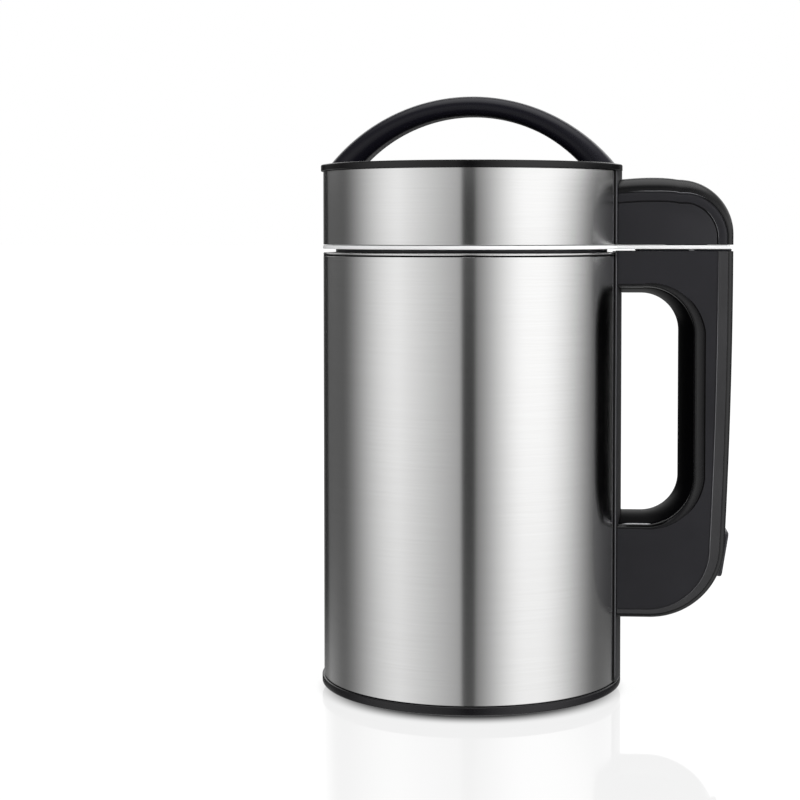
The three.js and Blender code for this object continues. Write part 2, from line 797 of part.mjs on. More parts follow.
function inletOpening() {
  return placedInlet(block(-inletDepth - overrun, overrun + bezelDepth, -inletHalfWidth - fit,
    inletHalfWidth + fit,
    -inletHalfHeight - fit, inletHalfHeight + fit));
}

function addInlet() {
  const outline = handleEdge().map((place) => offsetPoint(place, -fit));
  const handleBody = standing(outlineShape([...outline, new THREE.Vector2(insideX, handleTop)]),
    -handleHalfWidth, handleHalfWidth);
  const plateShape = roundedRectangle(-bezelHalfHeight, bezelHalfHeight, -bezelHalfWidth, bezelHalfWidth,
    edgeRound);
  const bezel = placedInlet(plate(plateShape, -bezelDepth, 0).rotateY(Math.PI / 2));
  piece('inlet_bezel', cut(bezel, handleBody, inletOpening()), blackSatin);

  const body = block(-inletDepth, -inletSetBack, -inletHalfWidth, inletHalfWidth, -inletHalfHeight,
    inletHalfHeight);
  const cavity = block(-inletSetBack - socketDepth, overrun, socketWall - inletHalfWidth,
    inletHalfWidth - socketWall,
    socketWall - inletHalfHeight, inletHalfHeight - socketWall);
  const floor = -inletSetBack - socketDepth;
  const blades = [[-bladeSpacing, -bladeOffset], [0, bladeOffset],
    [bladeSpacing, -bladeOffset]].map(([y, z]) => (
    block(floor - bladeThickness / 2, floor + bladeLength, y - bladeThickness / 2, y + bladeThickness / 2,
      z - bladeWidth / 2, z + bladeWidth / 2)
  ));
  piece('power_inlet', placedInlet(joined(cut(body, cavity), ...blades)), blackGloss);
}

// Cup handle
function handleCover(side, withHoles) {
  const near = handleHalfWidth - sideWall;
  const outer = handleEdge().map((p) => offsetPoint(p, between(sideLip, bottomLip, p.turn) + groove));
  const inner = gapEdge().map((p) => offsetPoint(p, -bulgeAt(p.turn) - rollAt(p.turn)));
  const shape = outlineShape([...outer, ...inner.reverse(), new THREE.Vector2(insideX, handleTop)]);
  const [front, back] = side < 0 ? [-handleHalfWidth, -near] : [near, handleHalfWidth];
  const panel = standing(shape, front, back);
  const roll = swept(gapEdge().map((p) => {
    const [start, end] = [bulgeAt(p.turn) + fit, bulgeAt(p.turn) + rollAt(p.turn)];
    const low = handleHalfWidth - coverLip;
    const section = [];
    for (let k = 0; k <= filletSteps; k += 1) {
      const turn = (k / filletSteps) * (Math.PI / 2);
      section.push([-between(end, start, Math.cos(turn)),
        side * between(low, handleHalfWidth, Math.sin(turn))]);
    }
    section.push([-end - groove, side * handleHalfWidth], [-end - groove, side * low]);
    return ringAt(p, section);
  }));
  const inside = side * fit / 2;
  const places = [[upperBossX, shellTop - upperBossDrop], [lowerBossX, handleBottom + lowerBossRise]];
  const bosses = places.map(([x, z]) => (
    rodAlongY(coverBossRadius, Math.min(inside, side * (near + sideWall / 2)),
      Math.max(inside, side * (near + sideWall / 2)), x, z)
  ));
  const bores = places.map(([x, z]) => (
    withHoles
      ? joined(rodAlongY(coverScrewRadius + fit, -overrun, handleHalfWidth + overrun, x, z),
        rodAlongY(coverScrewHeadRadius + fit, handleHalfWidth - coverScrewHeadHeight,
          handleHalfWidth + overrun, x, z))
      : rodAlongY(coverScrewRadius + fit, -coverScrewReach - fit, overrun, x, z)
  ));
  return trimmedToFlange(cut(joined(panel, roll, ...bosses), ...bores));
}

function addHandle() {
  const spine = swept(handleEdge().map((p) => (
    ringAt(p, channelSection(between(edgeRound, bottomRound, p.turn), between(sideLip, bottomLip, p.turn)))
  )));
  piece('handle_spine', trimmedToFlange(cut(spine, inletOpening())), blackSatin);
  piece('handle_cover_front', handleCover(-1, false), blackSatin);
  piece('handle_cover_back', handleCover(1, true), blackSatin);

  const insert = swept(gapEdge().map((p) => {
    const shares = [-1, -0.72, -0.36, 0, 0.36, 0.72, 1];
    const face = shares.map((share) => [-bulgeAt(p.turn) * share * share, share * insertHalfWidth]);
    const back = face.map(([distance, y]) => [distance - insertWall, y]).reverse();
    return ringAt(p, [...face, ...back]);
  }));
  piece('grip_insert', trimmedToFlange(insert), blackGloss);

  const places = [['upper', upperBossX, shellTop - upperBossDrop],
    ['lower', lowerBossX, handleBottom + lowerBossRise]];
  places.forEach(([name, x, z]) => {
    const headEnd = handleHalfWidth - fit;
    const head = rodAlongY(coverScrewHeadRadius, handleHalfWidth - coverScrewHeadHeight + fit, headEnd, x, z);
    const shank = rodAlongY(coverScrewRadius, -coverScrewReach, headEnd, x, z);
    piece(`handle_screw_${name}`, joined(head, shank), steel);
  });
}

// Coupler: socket in the top of the cup handle, plug in the cap
function pinPlaces() {
  return [
    [couplerX + couplerPinForward, -couplerPinSide],
    [couplerX + couplerPinForward, couplerPinSide],
    [couplerX - couplerPinForward, 0],
  ];
}

function addCouplerSocket() {
  const top = handleTop - fit;
  const sideLimit = handleHalfWidth - sideWall - fit;
  const topPlate = block(insideX, handleReach - edgeRound - groove - fit, -sideLimit, sideLimit,
    top - couplerPlateHeight, top);
  const socket = block(couplerX - couplerHalf, couplerX + couplerHalf, -couplerHalf, couplerHalf,
    socketBottom, top - couplerPlateHeight / 2);
  const holes = pinPlaces().map(([x, y]) => (
    rod(couplerPinRadius + fit, trimBottom - couplerPinLength - fit, shellTop + overrun, x, y)
  ));
  piece('coupler_socket', trimmedToFlange(cut(joined(topPlate, socket), ...holes)), blackSatin);
}

function addHeaterLead() {
  const side = insertHalfWidth - 2 * leadRadius;
  const [enter, leave] = leadTopShares.map(([x, y]) => [couplerX + x * couplerHalf, y * side]);
  const route = [
    [...enter, socketBottom - fit],
    [...leave, socketBottom - leadBend],
    ...leadLimbShares.map(([x, y, z]) => (
      [between(gripReach, handleReach, x), y * side, between(gapBottom, socketBottom, z)]
    )),
    ...leadFootShares.map(([x, y, z]) => (
      [between(gripReach, handleStart, x), y * side, between(handleBottom, gapBottom, z)]
    )),
    ...leadCavityShares.map(([x, y, z]) => (
      [between(potOutside, shellInside, x), y * side, between(potFloor, leadHoleRise, z)]
    )),
    ...leadBaseShares.map(([x, y, z]) => (
      [x * potInside, y * side, between(shellBottom, potFloor, z)]
    )),
  ];
  const curve = new THREE.CatmullRomCurve3(route.map(([x, y, z]) => new THREE.Vector3(x, y, z)), false,
    'centripetal');
  const section = new THREE.Shape();
  section.absarc(0, 0, leadRadius, 0, 2 * Math.PI);
  piece('heater_lead', new THREE.ExtrudeGeometry(section,
    { steps: innerSteps, curveSegments: wireSteps, extrudePath: curve }),
    paleRubber);
}

// Head shell: trim plate, base, ring and lid
function addHead() {
  const capFoot = roundedRectangle(0, handleReach + trimOverhang, -handleHalfWidth - trimOverhang,
    handleHalfWidth + trimOverhang, edgeRound);
  const disc = ring(0, bodyRadius + trimOverhang, trimBottom, trimTop);
  const plugHole = block(couplerX - couplerHalf - fit, couplerX + couplerHalf + fit, -couplerHalf - fit,
    couplerHalf + fit,
    trimBottom - overrun, trimTop + overrun);
  const neckHole = rod(restRingOutside + fit, trimBottom - overrun, trimTop + overrun, 0, 0, roundSteps);
  piece('trim_plate', cut(joined(disc, plate(capFoot, trimBottom, trimTop)), neckHole, plugHole), whiteTrim);

  const screwPlaces = around(headBossCount, headBossTurn, headBossReach);
  const restBottom = potFlangeTop + fit;
  const baseTop = headBottom + headBaseWall;
  const inside = neckRadius + fit;
  const carrier = turned([
    [inside, restBottom], [restRingOutside, restBottom], [restRingOutside, headBottom],
      [fitRadius, headBottom],
    [fitRadius, baseTop + headBaseUpstand], [fitRadius - headBaseWall, baseTop + headBaseUpstand],
    [fitRadius - headBaseWall, baseTop], [inside, baseTop],
  ]);
  const bores = screwPlaces.map(([x, y]) => rod(headScrewRadius + fit, restBottom - overrun,
    baseTop + headScrewGrip, x, y));
  const pockets = screwPlaces.map(([x, y]) => (
    rod(headScrewHeadRadius, restBottom - overrun, restBottom + headScrewHeadHeight, x, y)
  ));
  piece('head_base', cut(carrier, ...bores, ...pockets), blackSatin);
  piece('head_ring', ring(shellInside, bodyRadius, headBottom, lidBottom - fit), steel);
  piece('cap_flange', sector(flangeInside, flangeRadius, flangeHalfAngle, headBottom, lidBottom - fit),
    blackSatin);

  addNeck(bores, baseTop);
  addLid(screwPlaces, bores, baseTop);
}

function addNeck(bores, baseTop) {
  const flangeBottom = baseTop + fit;
  const arc = (radius) => Array.from({ length: filletSteps + 1 }, (_, i) => {
    const angle = -Math.PI / 2 + ((Math.PI / 2) * i) / filletSteps;
    return [neckRadius - neckCorner + radius * Math.cos(angle),
      neckFloor + neckCorner + radius * Math.sin(angle)];
  });
  const shaftHole = shaftRadius + fit;
  const neck = turned([
    [shaftHole, columnBottom], [columnRadius, columnBottom], [columnRadius, neckFloor - columnFillet],
    [columnRadius + columnFillet, neckFloor], ...arc(neckCorner),
    [neckRadius, flangeBottom], [neckFlange, flangeBottom], [neckFlange, flangeBottom + neckWall],
    [neckRadius - neckWall, flangeBottom + neckWall], ...arc(neckCorner - neckWall).reverse(),
    [columnRadius + columnFillet, floorTop], [columnRadius - neckWall, neckFloor - columnFillet],
    [columnRadius - neckWall, columnBottom + neckWall], [shaftHole, columnBottom + neckWall],
  ], innerSteps);
  const probeHoles = [
    rod(temperatureProbeRadius + fit, neckFloor - overrun, floorTop + overrun, ...probePlace(1)),
    rod(levelProbeRadius + fit, neckFloor - overrun, floorTop + overrun, ...probePlace(-1)),
  ];
  piece('neck', cut(neck, ...bores, ...probeHoles), polished);
  const sealTop = shellTop - neckSealDrop;
  piece('neck_seal', ring(neckRadius + fit, neckRadius + fit + neckSealThickness, sealTop - neckSealHeight,
    sealTop), paleRubber);
  piece('shaft_seal', ring(shaftHole, columnRadius - neckWall - fit, columnBottom + neckWall + fit,
    columnBottom + neckWall + fit + shaftSealHeight, midSteps), darkRubber);
}

function addLid(screwPlaces, bores, baseTop) {
  const skirtInside = fitRadius - lidSkirtWall;
  const lid = turned([
    [0, lidUnder], [skirtInside, lidUnder], [skirtInside, lidBottom - lidSkirtHeight],
    [fitRadius, lidBottom - lidSkirtHeight], [fitRadius, lidBottom], [rimRadius, lidBottom],
    [rimRadius, lidTop - rimRound], [rimRadius - rimRound, lidTop], [0, lidTop],
  ]);
  const bossBottom = baseTop + neckWall + fit + fit;
  const bosses = screwPlaces.map(([x, y]) => rod(headBossRadius, bossBottom, lidUnder + lidWall / 2, x, y));
  const boardPosts = [-1, 1].map((side) => (
    rod(boardPostRadius, controlBoardRise + boardThickness + fit, lidUnder + lidWall / 2, side * boardPostX,
      boardPostY)
  ));
  const powerPosts = [-1, 1].map((side) => {
    const turn = Math.PI + side * powerPostTurn;
    return rod(boardPostRadius, powerBoardRise + boardThickness + fit, lidUnder + lidWall / 2,
      powerPostReach * Math.cos(turn), powerPostReach * Math.sin(turn));
  });
  const recess = plate(roundedRectangle(-panelHalfLength - fit, panelHalfLength + fit,
    buttonY - panelHalfWidth - fit,
    buttonY + panelHalfWidth + fit, panelRound), lidTop - panelThickness - fit, lidTop + overrun);
  const holes = buttonPlaces().map(([x, y]) => rod(buttonRadius + fit, lidUnder - overrun, lidTop + overrun,
    x, y, midSteps));
  piece('top_cover', cut(joined(lid, ...bosses, ...boardPosts, ...powerPosts), ...bores, recess, ...holes),
    blackSatin);

  const sheet = plate(roundedRectangle(-panelHalfLength, panelHalfLength, buttonY - panelHalfWidth,
    buttonY + panelHalfWidth, panelRound), lidTop - panelThickness, lidTop);
  piece('control_panel', cut(sheet, ...holes), blackGloss);
}

function probePlace(side) {
  return [probeReach * Math.cos(probeTurn), side * probeReach * Math.sin(probeTurn)];
}

// The radius of a circle that reaches as far as this on both sides, this far under its top
function radiusOver(reach, drop) {
  return (reach * reach + drop * drop) / (2 * drop);
}

// Carry handle: its outer and inner edges are two circles, and it thickens towards its feet
function addCarryHandle() {
  const footRise = lidTop + fit;
  const innerTop = archTop - archThickness;
  const outerRadius = radiusOver(archFootReach, archTop - footRise);
  const innerRadius = radiusOver(archFootReach - archFootLength, innerTop - footRise);
  const outerCentre = archTop - outerRadius;
  const innerCentre = innerTop - innerRadius;
  const outerStart = Math.asin((footRise - outerCentre) / outerRadius);
  const innerStart = Math.asin((footRise - innerCentre) / innerRadius);
  const sectionShares = [
    [0, -0.66], [0, 0.66], [0.1, 0.88], [0.34, 1], [0.66, 0.97], [0.88, 0.76], [1, 0.36],
    [1, -0.36], [0.88, -0.76], [0.66, -0.97], [0.34, -1], [0.1, -0.88],
  ];
  const rings = Array.from({ length: archSteps + 1 }, (_, i) => {
    const share = i / archSteps;
    const outer = between(outerStart, Math.PI - outerStart, share);
    const inner = between(innerStart, Math.PI - innerStart, share);
    const high = new THREE.Vector3(outerRadius * Math.cos(outer), 0,
      outerCentre + outerRadius * Math.sin(outer));
    const low = new THREE.Vector3(innerRadius * Math.cos(inner), 0,
      innerCentre + innerRadius * Math.sin(inner));
    return sectionShares.map(([rise, width]) => {
      const point = low.clone().lerp(high, rise);
      point.y = width * archHalfWidth;
      return point;
    });
  });
  piece('carry_handle', swept(rings).rotateZ(archTurn), blackSatin);
}

// Cap over the cup handle
function addCap() {
  const frame = swept(capEdge().map((p) => (
    ringAt(p, channelSection(between(edgeRound, capRound, p.turn), between(sideLip, capLip, p.turn)))
  )));
  piece('cap_frame', trimmedToFlange(frame), blackSatin);
  const outline = capEdge().map((p) => offsetPoint(p, between(sideLip, capLip, p.turn) + groove));
  const shape = outlineShape([...outline, new THREE.Vector2(insideX, headBottom)]);
  const near = handleHalfWidth - sideWall;
  piece('cap_cover_front', trimmedToFlange(standing(shape, -handleHalfWidth, -near)), blackSatin);
  piece('cap_cover_back', trimmedToFlange(standing(shape, near, handleHalfWidth)), blackSatin);

  const body = block(couplerX - couplerHalf, couplerX + couplerHalf, -couplerHalf, couplerHalf,
    handleTop + fit, trimBottom + couplerPlugHeight);
  const apron = block(plugApronStart, handleReach - plugApronEndInset, -plugApronHalfWidth,
    plugApronHalfWidth, handleTop + fit, trimBottom - fit);
  const pins = pinPlaces().map(([x, y]) => rod(couplerPinRadius, trimBottom - couplerPinLength, headBottom,
    x, y));
  piece('coupler_plug', joined(body, apron, ...pins), blackSatin);
}

// Probes, motor and blade
function addProbes() {
  [['temperature_probe', temperatureProbeRadius, temperatureProbeBottom, 1],
    ['level_probe', levelProbeRadius, levelProbeBottom, -1]].forEach(([name, radius, bottom, side]) => {
    const [x, y] = probePlace(side);
    const seat = floorTop + fit;
    const collar = rod(probeFlangeRadius, seat, seat + probeFlangeHeight, x, y, 6);
    piece(name, joined(rod(radius, bottom, seat + probeTopHeight, x, y), collar), polished);
  });
}

function addMotor() {
  const stackTop = stackBottom + stackHeight;
  const shaftHole = shaftRadius + fit;
  const postPlaces = [-1, 1].map((side) => [0, side * bracketPostReach]);
  const lowerPlate = ring(bearingRadius + fit, bracketRadius, floorTop + fit, lowerBracketTop, midSteps);
  const lowerPosts = postPlaces.map(([x, y]) => rod(bracketPostRadius, lowerBracketTop - fit,
    stackBottom - fit, x, y));
  piece('motor_bracket_lower', joined(lowerPlate, ...lowerPosts), aluminium);
  const upperPlate = ring(bearingRadius + fit, stackRadius, upperBracketBottom,
    upperBracketBottom + bearingHeight, midSteps);
  const upperPosts = postPlaces.map(([x, y]) => rod(bracketPostRadius, stackTop + fit,
    upperBracketBottom + fit, x, y));
  piece('motor_bracket_upper', joined(upperPlate, ...upperPosts), aluminium);
  piece('bearing_lower', ring(shaftHole, bearingRadius, floorTop + fit, lowerBracketTop, midSteps), steel);
  piece('bearing_upper', ring(shaftHole, bearingRadius, upperBracketBottom,
    upperBracketBottom + bearingHeight, midSteps), steel);

  const yoke = ring(stackRadius - stackYoke, stackRadius, stackBottom, stackTop, innerSteps);
  const poles = [0, Math.PI].map((turn) => (
    sector(poleInside, stackRadius - stackYoke / 2, poleHalfAngle, stackBottom, stackTop, turn, smallSteps)
  ));
  piece('motor_stator', joined(yoke, ...poles), aluminium);
  [0, Math.PI].forEach((turn, i) => {
    const coil = sector(coilInside, coilOutside, coilHalfAngle, stackBottom - coilEndHeight,
      stackTop + coilEndHeight, turn);
    const window = sector(coilInside - overrun, coilOutside + overrun, poleHalfAngle + fit / coilInside,
      stackBottom - fit,
      stackTop + fit, turn);
    piece(`field_coil_${i + 1}`, cut(coil, window), copper);
  });

  const collar = rod(cutterCollarRadius, cutterRise + cutterThickness + fit,
    cutterRise + cutterThickness + fit + cutterCollarHeight);
  piece('motor_shaft', joined(rod(shaftRadius, shaftBottom, shaftTop), collar), steel);
  piece('armature', ring(shaftHole, poleInside - airGap, stackBottom, stackTop, midSteps), aluminium);
  piece('commutator', ring(shaftHole, commutatorRadius, stackTop + fit, upperBracketBottom - fit, midSteps),
    brass);
  const hub = ring(shaftHole, fanHubRadius, fanBottom, fanBottom + fanHeight, midSteps);
  const vanes = Array.from({ length: fanBlades }, (_, i) => (
    block(fanHubRadius - fanBladeThickness, fanRadius, -fanBladeThickness / 2, fanBladeThickness / 2,
      fanBottom,
      fanBottom + fanHeight).rotateZ((i * 2 * Math.PI) / fanBlades)
  ));
  piece('cooling_fan', joined(hub, ...vanes), blackSatin);
}

function addBlade() {
  const arm = (tipRise, turn) => {
    const bend = bladeReach * cutterBendShare;
    const bottom = cutterRise;
    const top = cutterRise + cutterThickness;
    const shape = outlineShape([
      new THREE.Vector2(-bladeReach, bottom + tipRise), new THREE.Vector2(-bend, bottom),
        new THREE.Vector2(bend, bottom),
      new THREE.Vector2(bladeReach, bottom + tipRise), new THREE.Vector2(bladeReach, top + tipRise),
      new THREE.Vector2(bend, top), new THREE.Vector2(-bend, top),
        new THREE.Vector2(-bladeReach, top + tipRise),
    ]);
    return standing(shape, -cutterWidth / 2, cutterWidth / 2).rotateZ(turn);
  };
  const bore = rod(shaftRadius + fit, cutterRise - overrun, cutterRise + overrun);
  piece('blade', cut(joined(arm(cutterTip, 0), arm(-cutterTip, Math.PI / 2)), bore), polished);
  const nut = rod(nutRadius, cutterRise - fit - nutHeight, cutterRise - fit, 0, 0, 6);
  piece('blade_nut', cut(nut, rod(shaftRadius + fit, cutterRise - fit - nutHeight - overrun, cutterRise)),
    polished);

  const inside = columnRadius + fit;
  const guard = turned([
    [inside, guardShoulder - guardWall], [guardRadius - guardWall, guardShoulder - guardWall],
    [guardRadius - guardWall, guardBottom], [guardRadius, guardBottom],
      [guardRadius, guardShoulder - guardWall],
    [guardRadius - guardWall, guardShoulder], [inside + guardCollar, guardShoulder],
    [inside + guardCollar, guardCollarTop], [inside, guardCollarTop],
  ], innerSteps);
  const slots = Array.from({ length: guardSlots }, (_, i) => (
    block(guardRadius - guardWall - overrun, guardRadius + overrun, -guardSlotWidth / 2, guardSlotWidth / 2,
      guardSlotBottom, guardSlotBottom + guardSlotHeight).rotateZ(((i + 0.5) * 2 * Math.PI) / guardSlots)
  ));
  piece('blade_guard', cut(guard, ...slots), polished);
}

// Electronics and buttons
function buttonPlaces() {
  return Array.from({ length: buttonCount },
    (_, i) => [(i - (buttonCount - 1) / 2) * buttonSpacing, buttonY]);
}

function addControls() {
  const boardTop = controlBoardRise + boardThickness;
  piece('control_board', block(-controlBoardHalfLength, controlBoardHalfLength, -controlBoardFar,
    -controlBoardNear,
    controlBoardRise, boardTop), boardGreen);
  const keypadBottom = boardTop + fit;
  const membrane = block(-keypadHalfLength, keypadHalfLength, buttonY - keypadHalfWidth,
    buttonY + keypadHalfWidth,
    keypadBottom, keypadBottom + keypadHeight);
  const domeTop = keypadBottom + keypadHeight + domeHeight;
  const domes = buttonPlaces().map(([x, y]) => {
    const dome = new THREE.CylinderGeometry(domeTopRadius, domeRadius, domeHeight + keypadHeight / 2,
      smallSteps);
    return dome.rotateX(Math.PI / 2).translate(x, y, domeTop - (domeHeight + keypadHeight / 2) / 2);
  });
  piece('keypad', joined(membrane, ...domes), paleRubber);
  buttonPlaces().forEach(([x, y], i) => {
    const retainerTop = lidUnder - fit;
    const cap = rod(buttonRadius, retainerTop - buttonRetainerHeight / 2, lidTop + buttonProud, x, y,
      midSteps);
    const retainer = rod(buttonRetainer, retainerTop - buttonRetainerHeight, retainerTop, x, y, midSteps);
    const stem = rod(buttonStem, domeTop + domeGap, retainerTop, x, y);
    piece(`button_${i + 1}`, joined(cap, retainer, stem), blackSatin);
  });

  const board = sector(powerBoardInside, powerBoardOutside, powerBoardHalfAngle, powerBoardRise,
    powerBoardRise + boardThickness, Math.PI);
  const top = powerBoardRise + boardThickness / 2;
  const relay = block(-componentReach - relayWidth / 2, -componentReach + relayWidth / 2,
    componentReach * componentTurn - relayLength / 2, componentReach * componentTurn + relayLength / 2,
    top, top + relayHeight);
  const capacitor = rod(capacitorRadius, top, top + capacitorHeight, -componentReach,
    -componentReach * componentTurn);
  piece('power_board', joined(board, relay, capacitor), boardGreen);
}

addPot(addBase());
addShell();
addInlet();
addHandle();
addCouplerSocket();
addHeaterLead();
addHead();
addCarryHandle();
addCap();
addProbes();
addMotor();
addBlade();
addControls();

export default soyMilkMaker;
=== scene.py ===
"""A soy milk maker in a plain white studio: brushed steel cup and head, black handles and lid."""
import math
from contextlib import contextmanager

import bmesh
import bpy
from mathutils import Matrix, Vector


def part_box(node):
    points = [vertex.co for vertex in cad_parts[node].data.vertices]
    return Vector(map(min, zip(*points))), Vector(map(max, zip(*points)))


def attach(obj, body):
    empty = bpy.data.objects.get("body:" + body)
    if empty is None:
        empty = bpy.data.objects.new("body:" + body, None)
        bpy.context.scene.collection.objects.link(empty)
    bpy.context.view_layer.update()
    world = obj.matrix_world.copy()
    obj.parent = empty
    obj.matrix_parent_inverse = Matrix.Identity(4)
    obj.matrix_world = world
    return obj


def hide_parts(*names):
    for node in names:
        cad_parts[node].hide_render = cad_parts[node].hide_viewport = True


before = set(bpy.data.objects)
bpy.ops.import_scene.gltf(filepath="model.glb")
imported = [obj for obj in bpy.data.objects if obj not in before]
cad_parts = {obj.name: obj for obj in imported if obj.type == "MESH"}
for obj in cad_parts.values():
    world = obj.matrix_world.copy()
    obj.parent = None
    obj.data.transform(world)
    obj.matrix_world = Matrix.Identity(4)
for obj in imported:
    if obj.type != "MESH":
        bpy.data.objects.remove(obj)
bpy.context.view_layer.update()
scene = bpy.context.scene

# Lengths below are in millimetres; MM brings them to metres as a mesh is made
MM = 0.001
MICRON = 0.000001
ROUND = 192
FINE = 64
COARSE = 32
SMOOTH_ANGLE = math.radians(38)
# Points nearer than this, in metres, are one
SAME = 1e-7

# Camera: the picture's width and middle in its own pixels, then the camera's place and its turns
PICTURE_WIDTH = 800
FOCAL_PIXELS = 1865.5
MIDDLE_COLUMN, MIDDLE_ROW = 437.3, 310.1
SENSOR = 36
CAMERA_REACH = 1035
CAMERA_RISE = 251.5
CAMERA_ROUND = 0.0466
CAMERA_TURN = 0.0649
CAMERA_PITCH = 0.0405
NEAREST, FARTHEST = 50, 50000


def make_camera():
    data = bpy.data.cameras.new("camera")
    data.sensor_width = SENSOR
    data.lens = FOCAL_PIXELS / PICTURE_WIDTH * SENSOR
    data.clip_start, data.clip_end = NEAREST * MM, FARTHEST * MM
    data.shift_x = (PICTURE_WIDTH / 2 - MIDDLE_COLUMN) / PICTURE_WIDTH
    data.shift_y = (MIDDLE_ROW - PICTURE_WIDTH / 2) / PICTURE_WIDTH
    camera = bpy.data.objects.new("camera", data)
    camera.location = Vector((CAMERA_REACH * math.sin(CAMERA_ROUND), -CAMERA_REACH * math.cos(CAMERA_ROUND),
                              CAMERA_RISE)) * MM
    camera.rotation_euler = (math.pi / 2 - CAMERA_PITCH, 0, CAMERA_TURN)
    scene.collection.objects.link(camera)
    scene.camera = camera


# Shader expressions
class Value:
    """A number socket. Arithmetic on it adds Math nodes to its tree."""

    def __init__(self, sheet, socket):
        self.sheet, self.socket = sheet, socket

    def math(self, operation, *others, clamp=False):
        inputs = {i: other for i, other in enumerate((self, *others))}
        node = self.sheet.add("ShaderNodeMath", {"operation": operation, "use_clamp": clamp}, inputs)
        return Value(self.sheet, node.outputs[0])

    def __add__(self, other):
        return self.math("ADD", other)

    def __mul__(self, other):
        return self.math("MULTIPLY", other)

    def __sub__(self, other):
        return self.math("SUBTRACT", other)

    def __rsub__(self, other):
        return self.sheet.number(other).math("SUBTRACT", self)

    __radd__ = __add__
    __rmul__ = __mul__

    def step(self, low, high):
        """0 below low, 1 above high and a smooth run between them; high may be the lower one."""
        settings = {"interpolation_type": "SMOOTHSTEP"}
        node = self.sheet.add("ShaderNodeMapRange", settings, {
            "Value": self, "From Min": low, "From Max": high})
        return Value(self.sheet, node.outputs["Result"])

    def run(self, low, high, start, end):
        node = self.sheet.add("ShaderNodeMapRange", {"clamp": True}, {
            "Value": self, "From Min": low, "From Max": high, "To Min": start, "To Max": end,
        })
        return Value(self.sheet, node.outputs["Result"])


class Sheet:
    """A node tree that nodes are added to, with the few patterns that several finishes share."""

    def __init__(self, tree):
        self.tree = tree
        tree.nodes.clear()

    def add(self, kind, settings=None, inputs=None):
        node = self.tree.nodes.new(kind)
        for name, value in (settings or {}).items():
            setattr(node, name, value)
        for name, value in (inputs or {}).items():
            socket = node.inputs[name]
            if isinstance(value, Value):
                value = value.socket
            if isinstance(value, bpy.types.NodeSocket):
                self.tree.links.new(value, socket)
            else:
                socket.default_value = value
        return node

    def number(self, value):
        node = self.add("ShaderNodeValue")
        node.outputs[0].default_value = value
        return Value(self, node.outputs[0])

    def place(self):
        return self.add("ShaderNodeTexCoord").outputs["Object"]

    def split(self, vector):
        node = self.add("ShaderNodeSeparateXYZ", None, {"Vector": vector})
        return [Value(self, socket) for socket in node.outputs]

    def noise(self, scale, detail=2, roughness=0.5, vector=None):
        """Noise from 0 to 1; scale is cells per metre along X, Y and Z."""
        mapping = self.add("ShaderNodeMapping", {"vector_type": "POINT"}, {
            "Vector": vector or self.place(), "Scale": scale,
        })
        node = self.add("ShaderNodeTexNoise", None, {
            "Vector": mapping.outputs[0], "Scale": 1, "Detail": detail, "Roughness": roughness,
        })
        return Value(self, node.outputs[0])

    def mix(self, share, first, second):
        node = self.add("ShaderNodeMix", {"data_type": "RGBA"}, {0: share, 6: first, 7: second})
        return node.outputs[2]

    def bump(self, height, distance, strength=1):
        node = self.add("ShaderNodeBump", None, {
            "Height": height, "Distance": distance, "Strength": strength,
        })
        return node.outputs[0]


def tone(red, green=None, blue=None):
    return (red, red if green is None else green, red if blue is None else blue, 1)


def shaded(colour, share):
    return tone(*[part * share for part in colour])


def finish_of(name, paint, **fixed):
    """A material: fixed socket values, and what paint(sheet) returns for the sockets that vary."""
    material = bpy.data.materials.new(name)
    material.use_nodes = True
    sheet = Sheet(material.node_tree)
    inputs = {key.replace("_", " "): value for key, value in fixed.items()}
    inputs.update(paint(sheet))
    shader = sheet.add("ShaderNodeBsdfPrincipled", None, inputs)
    sheet.add("ShaderNodeOutputMaterial", None, {"Surface": shader.outputs[0]})
    return material


def steel_paint(bright, rough, hairs, depth):
    """Sheet steel brushed round the axis: hairlines are long in X and Y and very thin in Z."""
    def paint(sheet):
        fine = sheet.noise((22, 22, hairs), 3, 0.6)
        low = tone(bright * 0.975, bright * 0.972, bright * 0.966)
        high = tone(bright * 1.02, bright * 1.02, bright * 1.016)
        return {
            "Base Color": sheet.mix(fine.run(0.3, 0.7, 0, 1), low, high),
            "Roughness": rough + (fine - 0.5) * 0.04,
            "Normal": sheet.bump(fine, depth * MICRON, 0.1),
        }
    return paint


def plain_paint(colour, rough, grain, depth, spread=0.08):
    """A cast or moulded surface: faint clouds in its colour, rough patches and a fine grain."""
    def paint(sheet):
        cloud = sheet.noise((30,) * 3, 3)
        skin = sheet.noise((grain,) * 3, 2, 0.6)
        low = shaded(colour, 1 - spread)
        high = shaded(colour, 1 + spread)
        return {
            "Base Color": sheet.mix(cloud.run(0.3, 0.7, 0, 1), low, high),
            "Roughness": rough + (cloud - 0.5) * 0.08 + (skin - 0.5) * 0.05,
            "Normal": sheet.bump(skin, depth * MICRON, 0.5),
        }
    return paint


def layered_paint(colour, rough, pitch):
    """Thin sheets stacked along Z, such as a motor's laminations."""
    def paint(sheet):
        up = sheet.split(sheet.place())[2]
        wave = (up * (2 * math.pi / pitch)).math("SINE")
        low, high = shaded(colour, 0.7), shaded(colour, 1.15)
        return {
            "Base Color": sheet.mix(wave.run(-1, 1, 0, 1), low, high),
            "Roughness": rough + wave * 0.05,
            "Normal": sheet.bump(wave, 50 * MICRON),
        }
    return paint


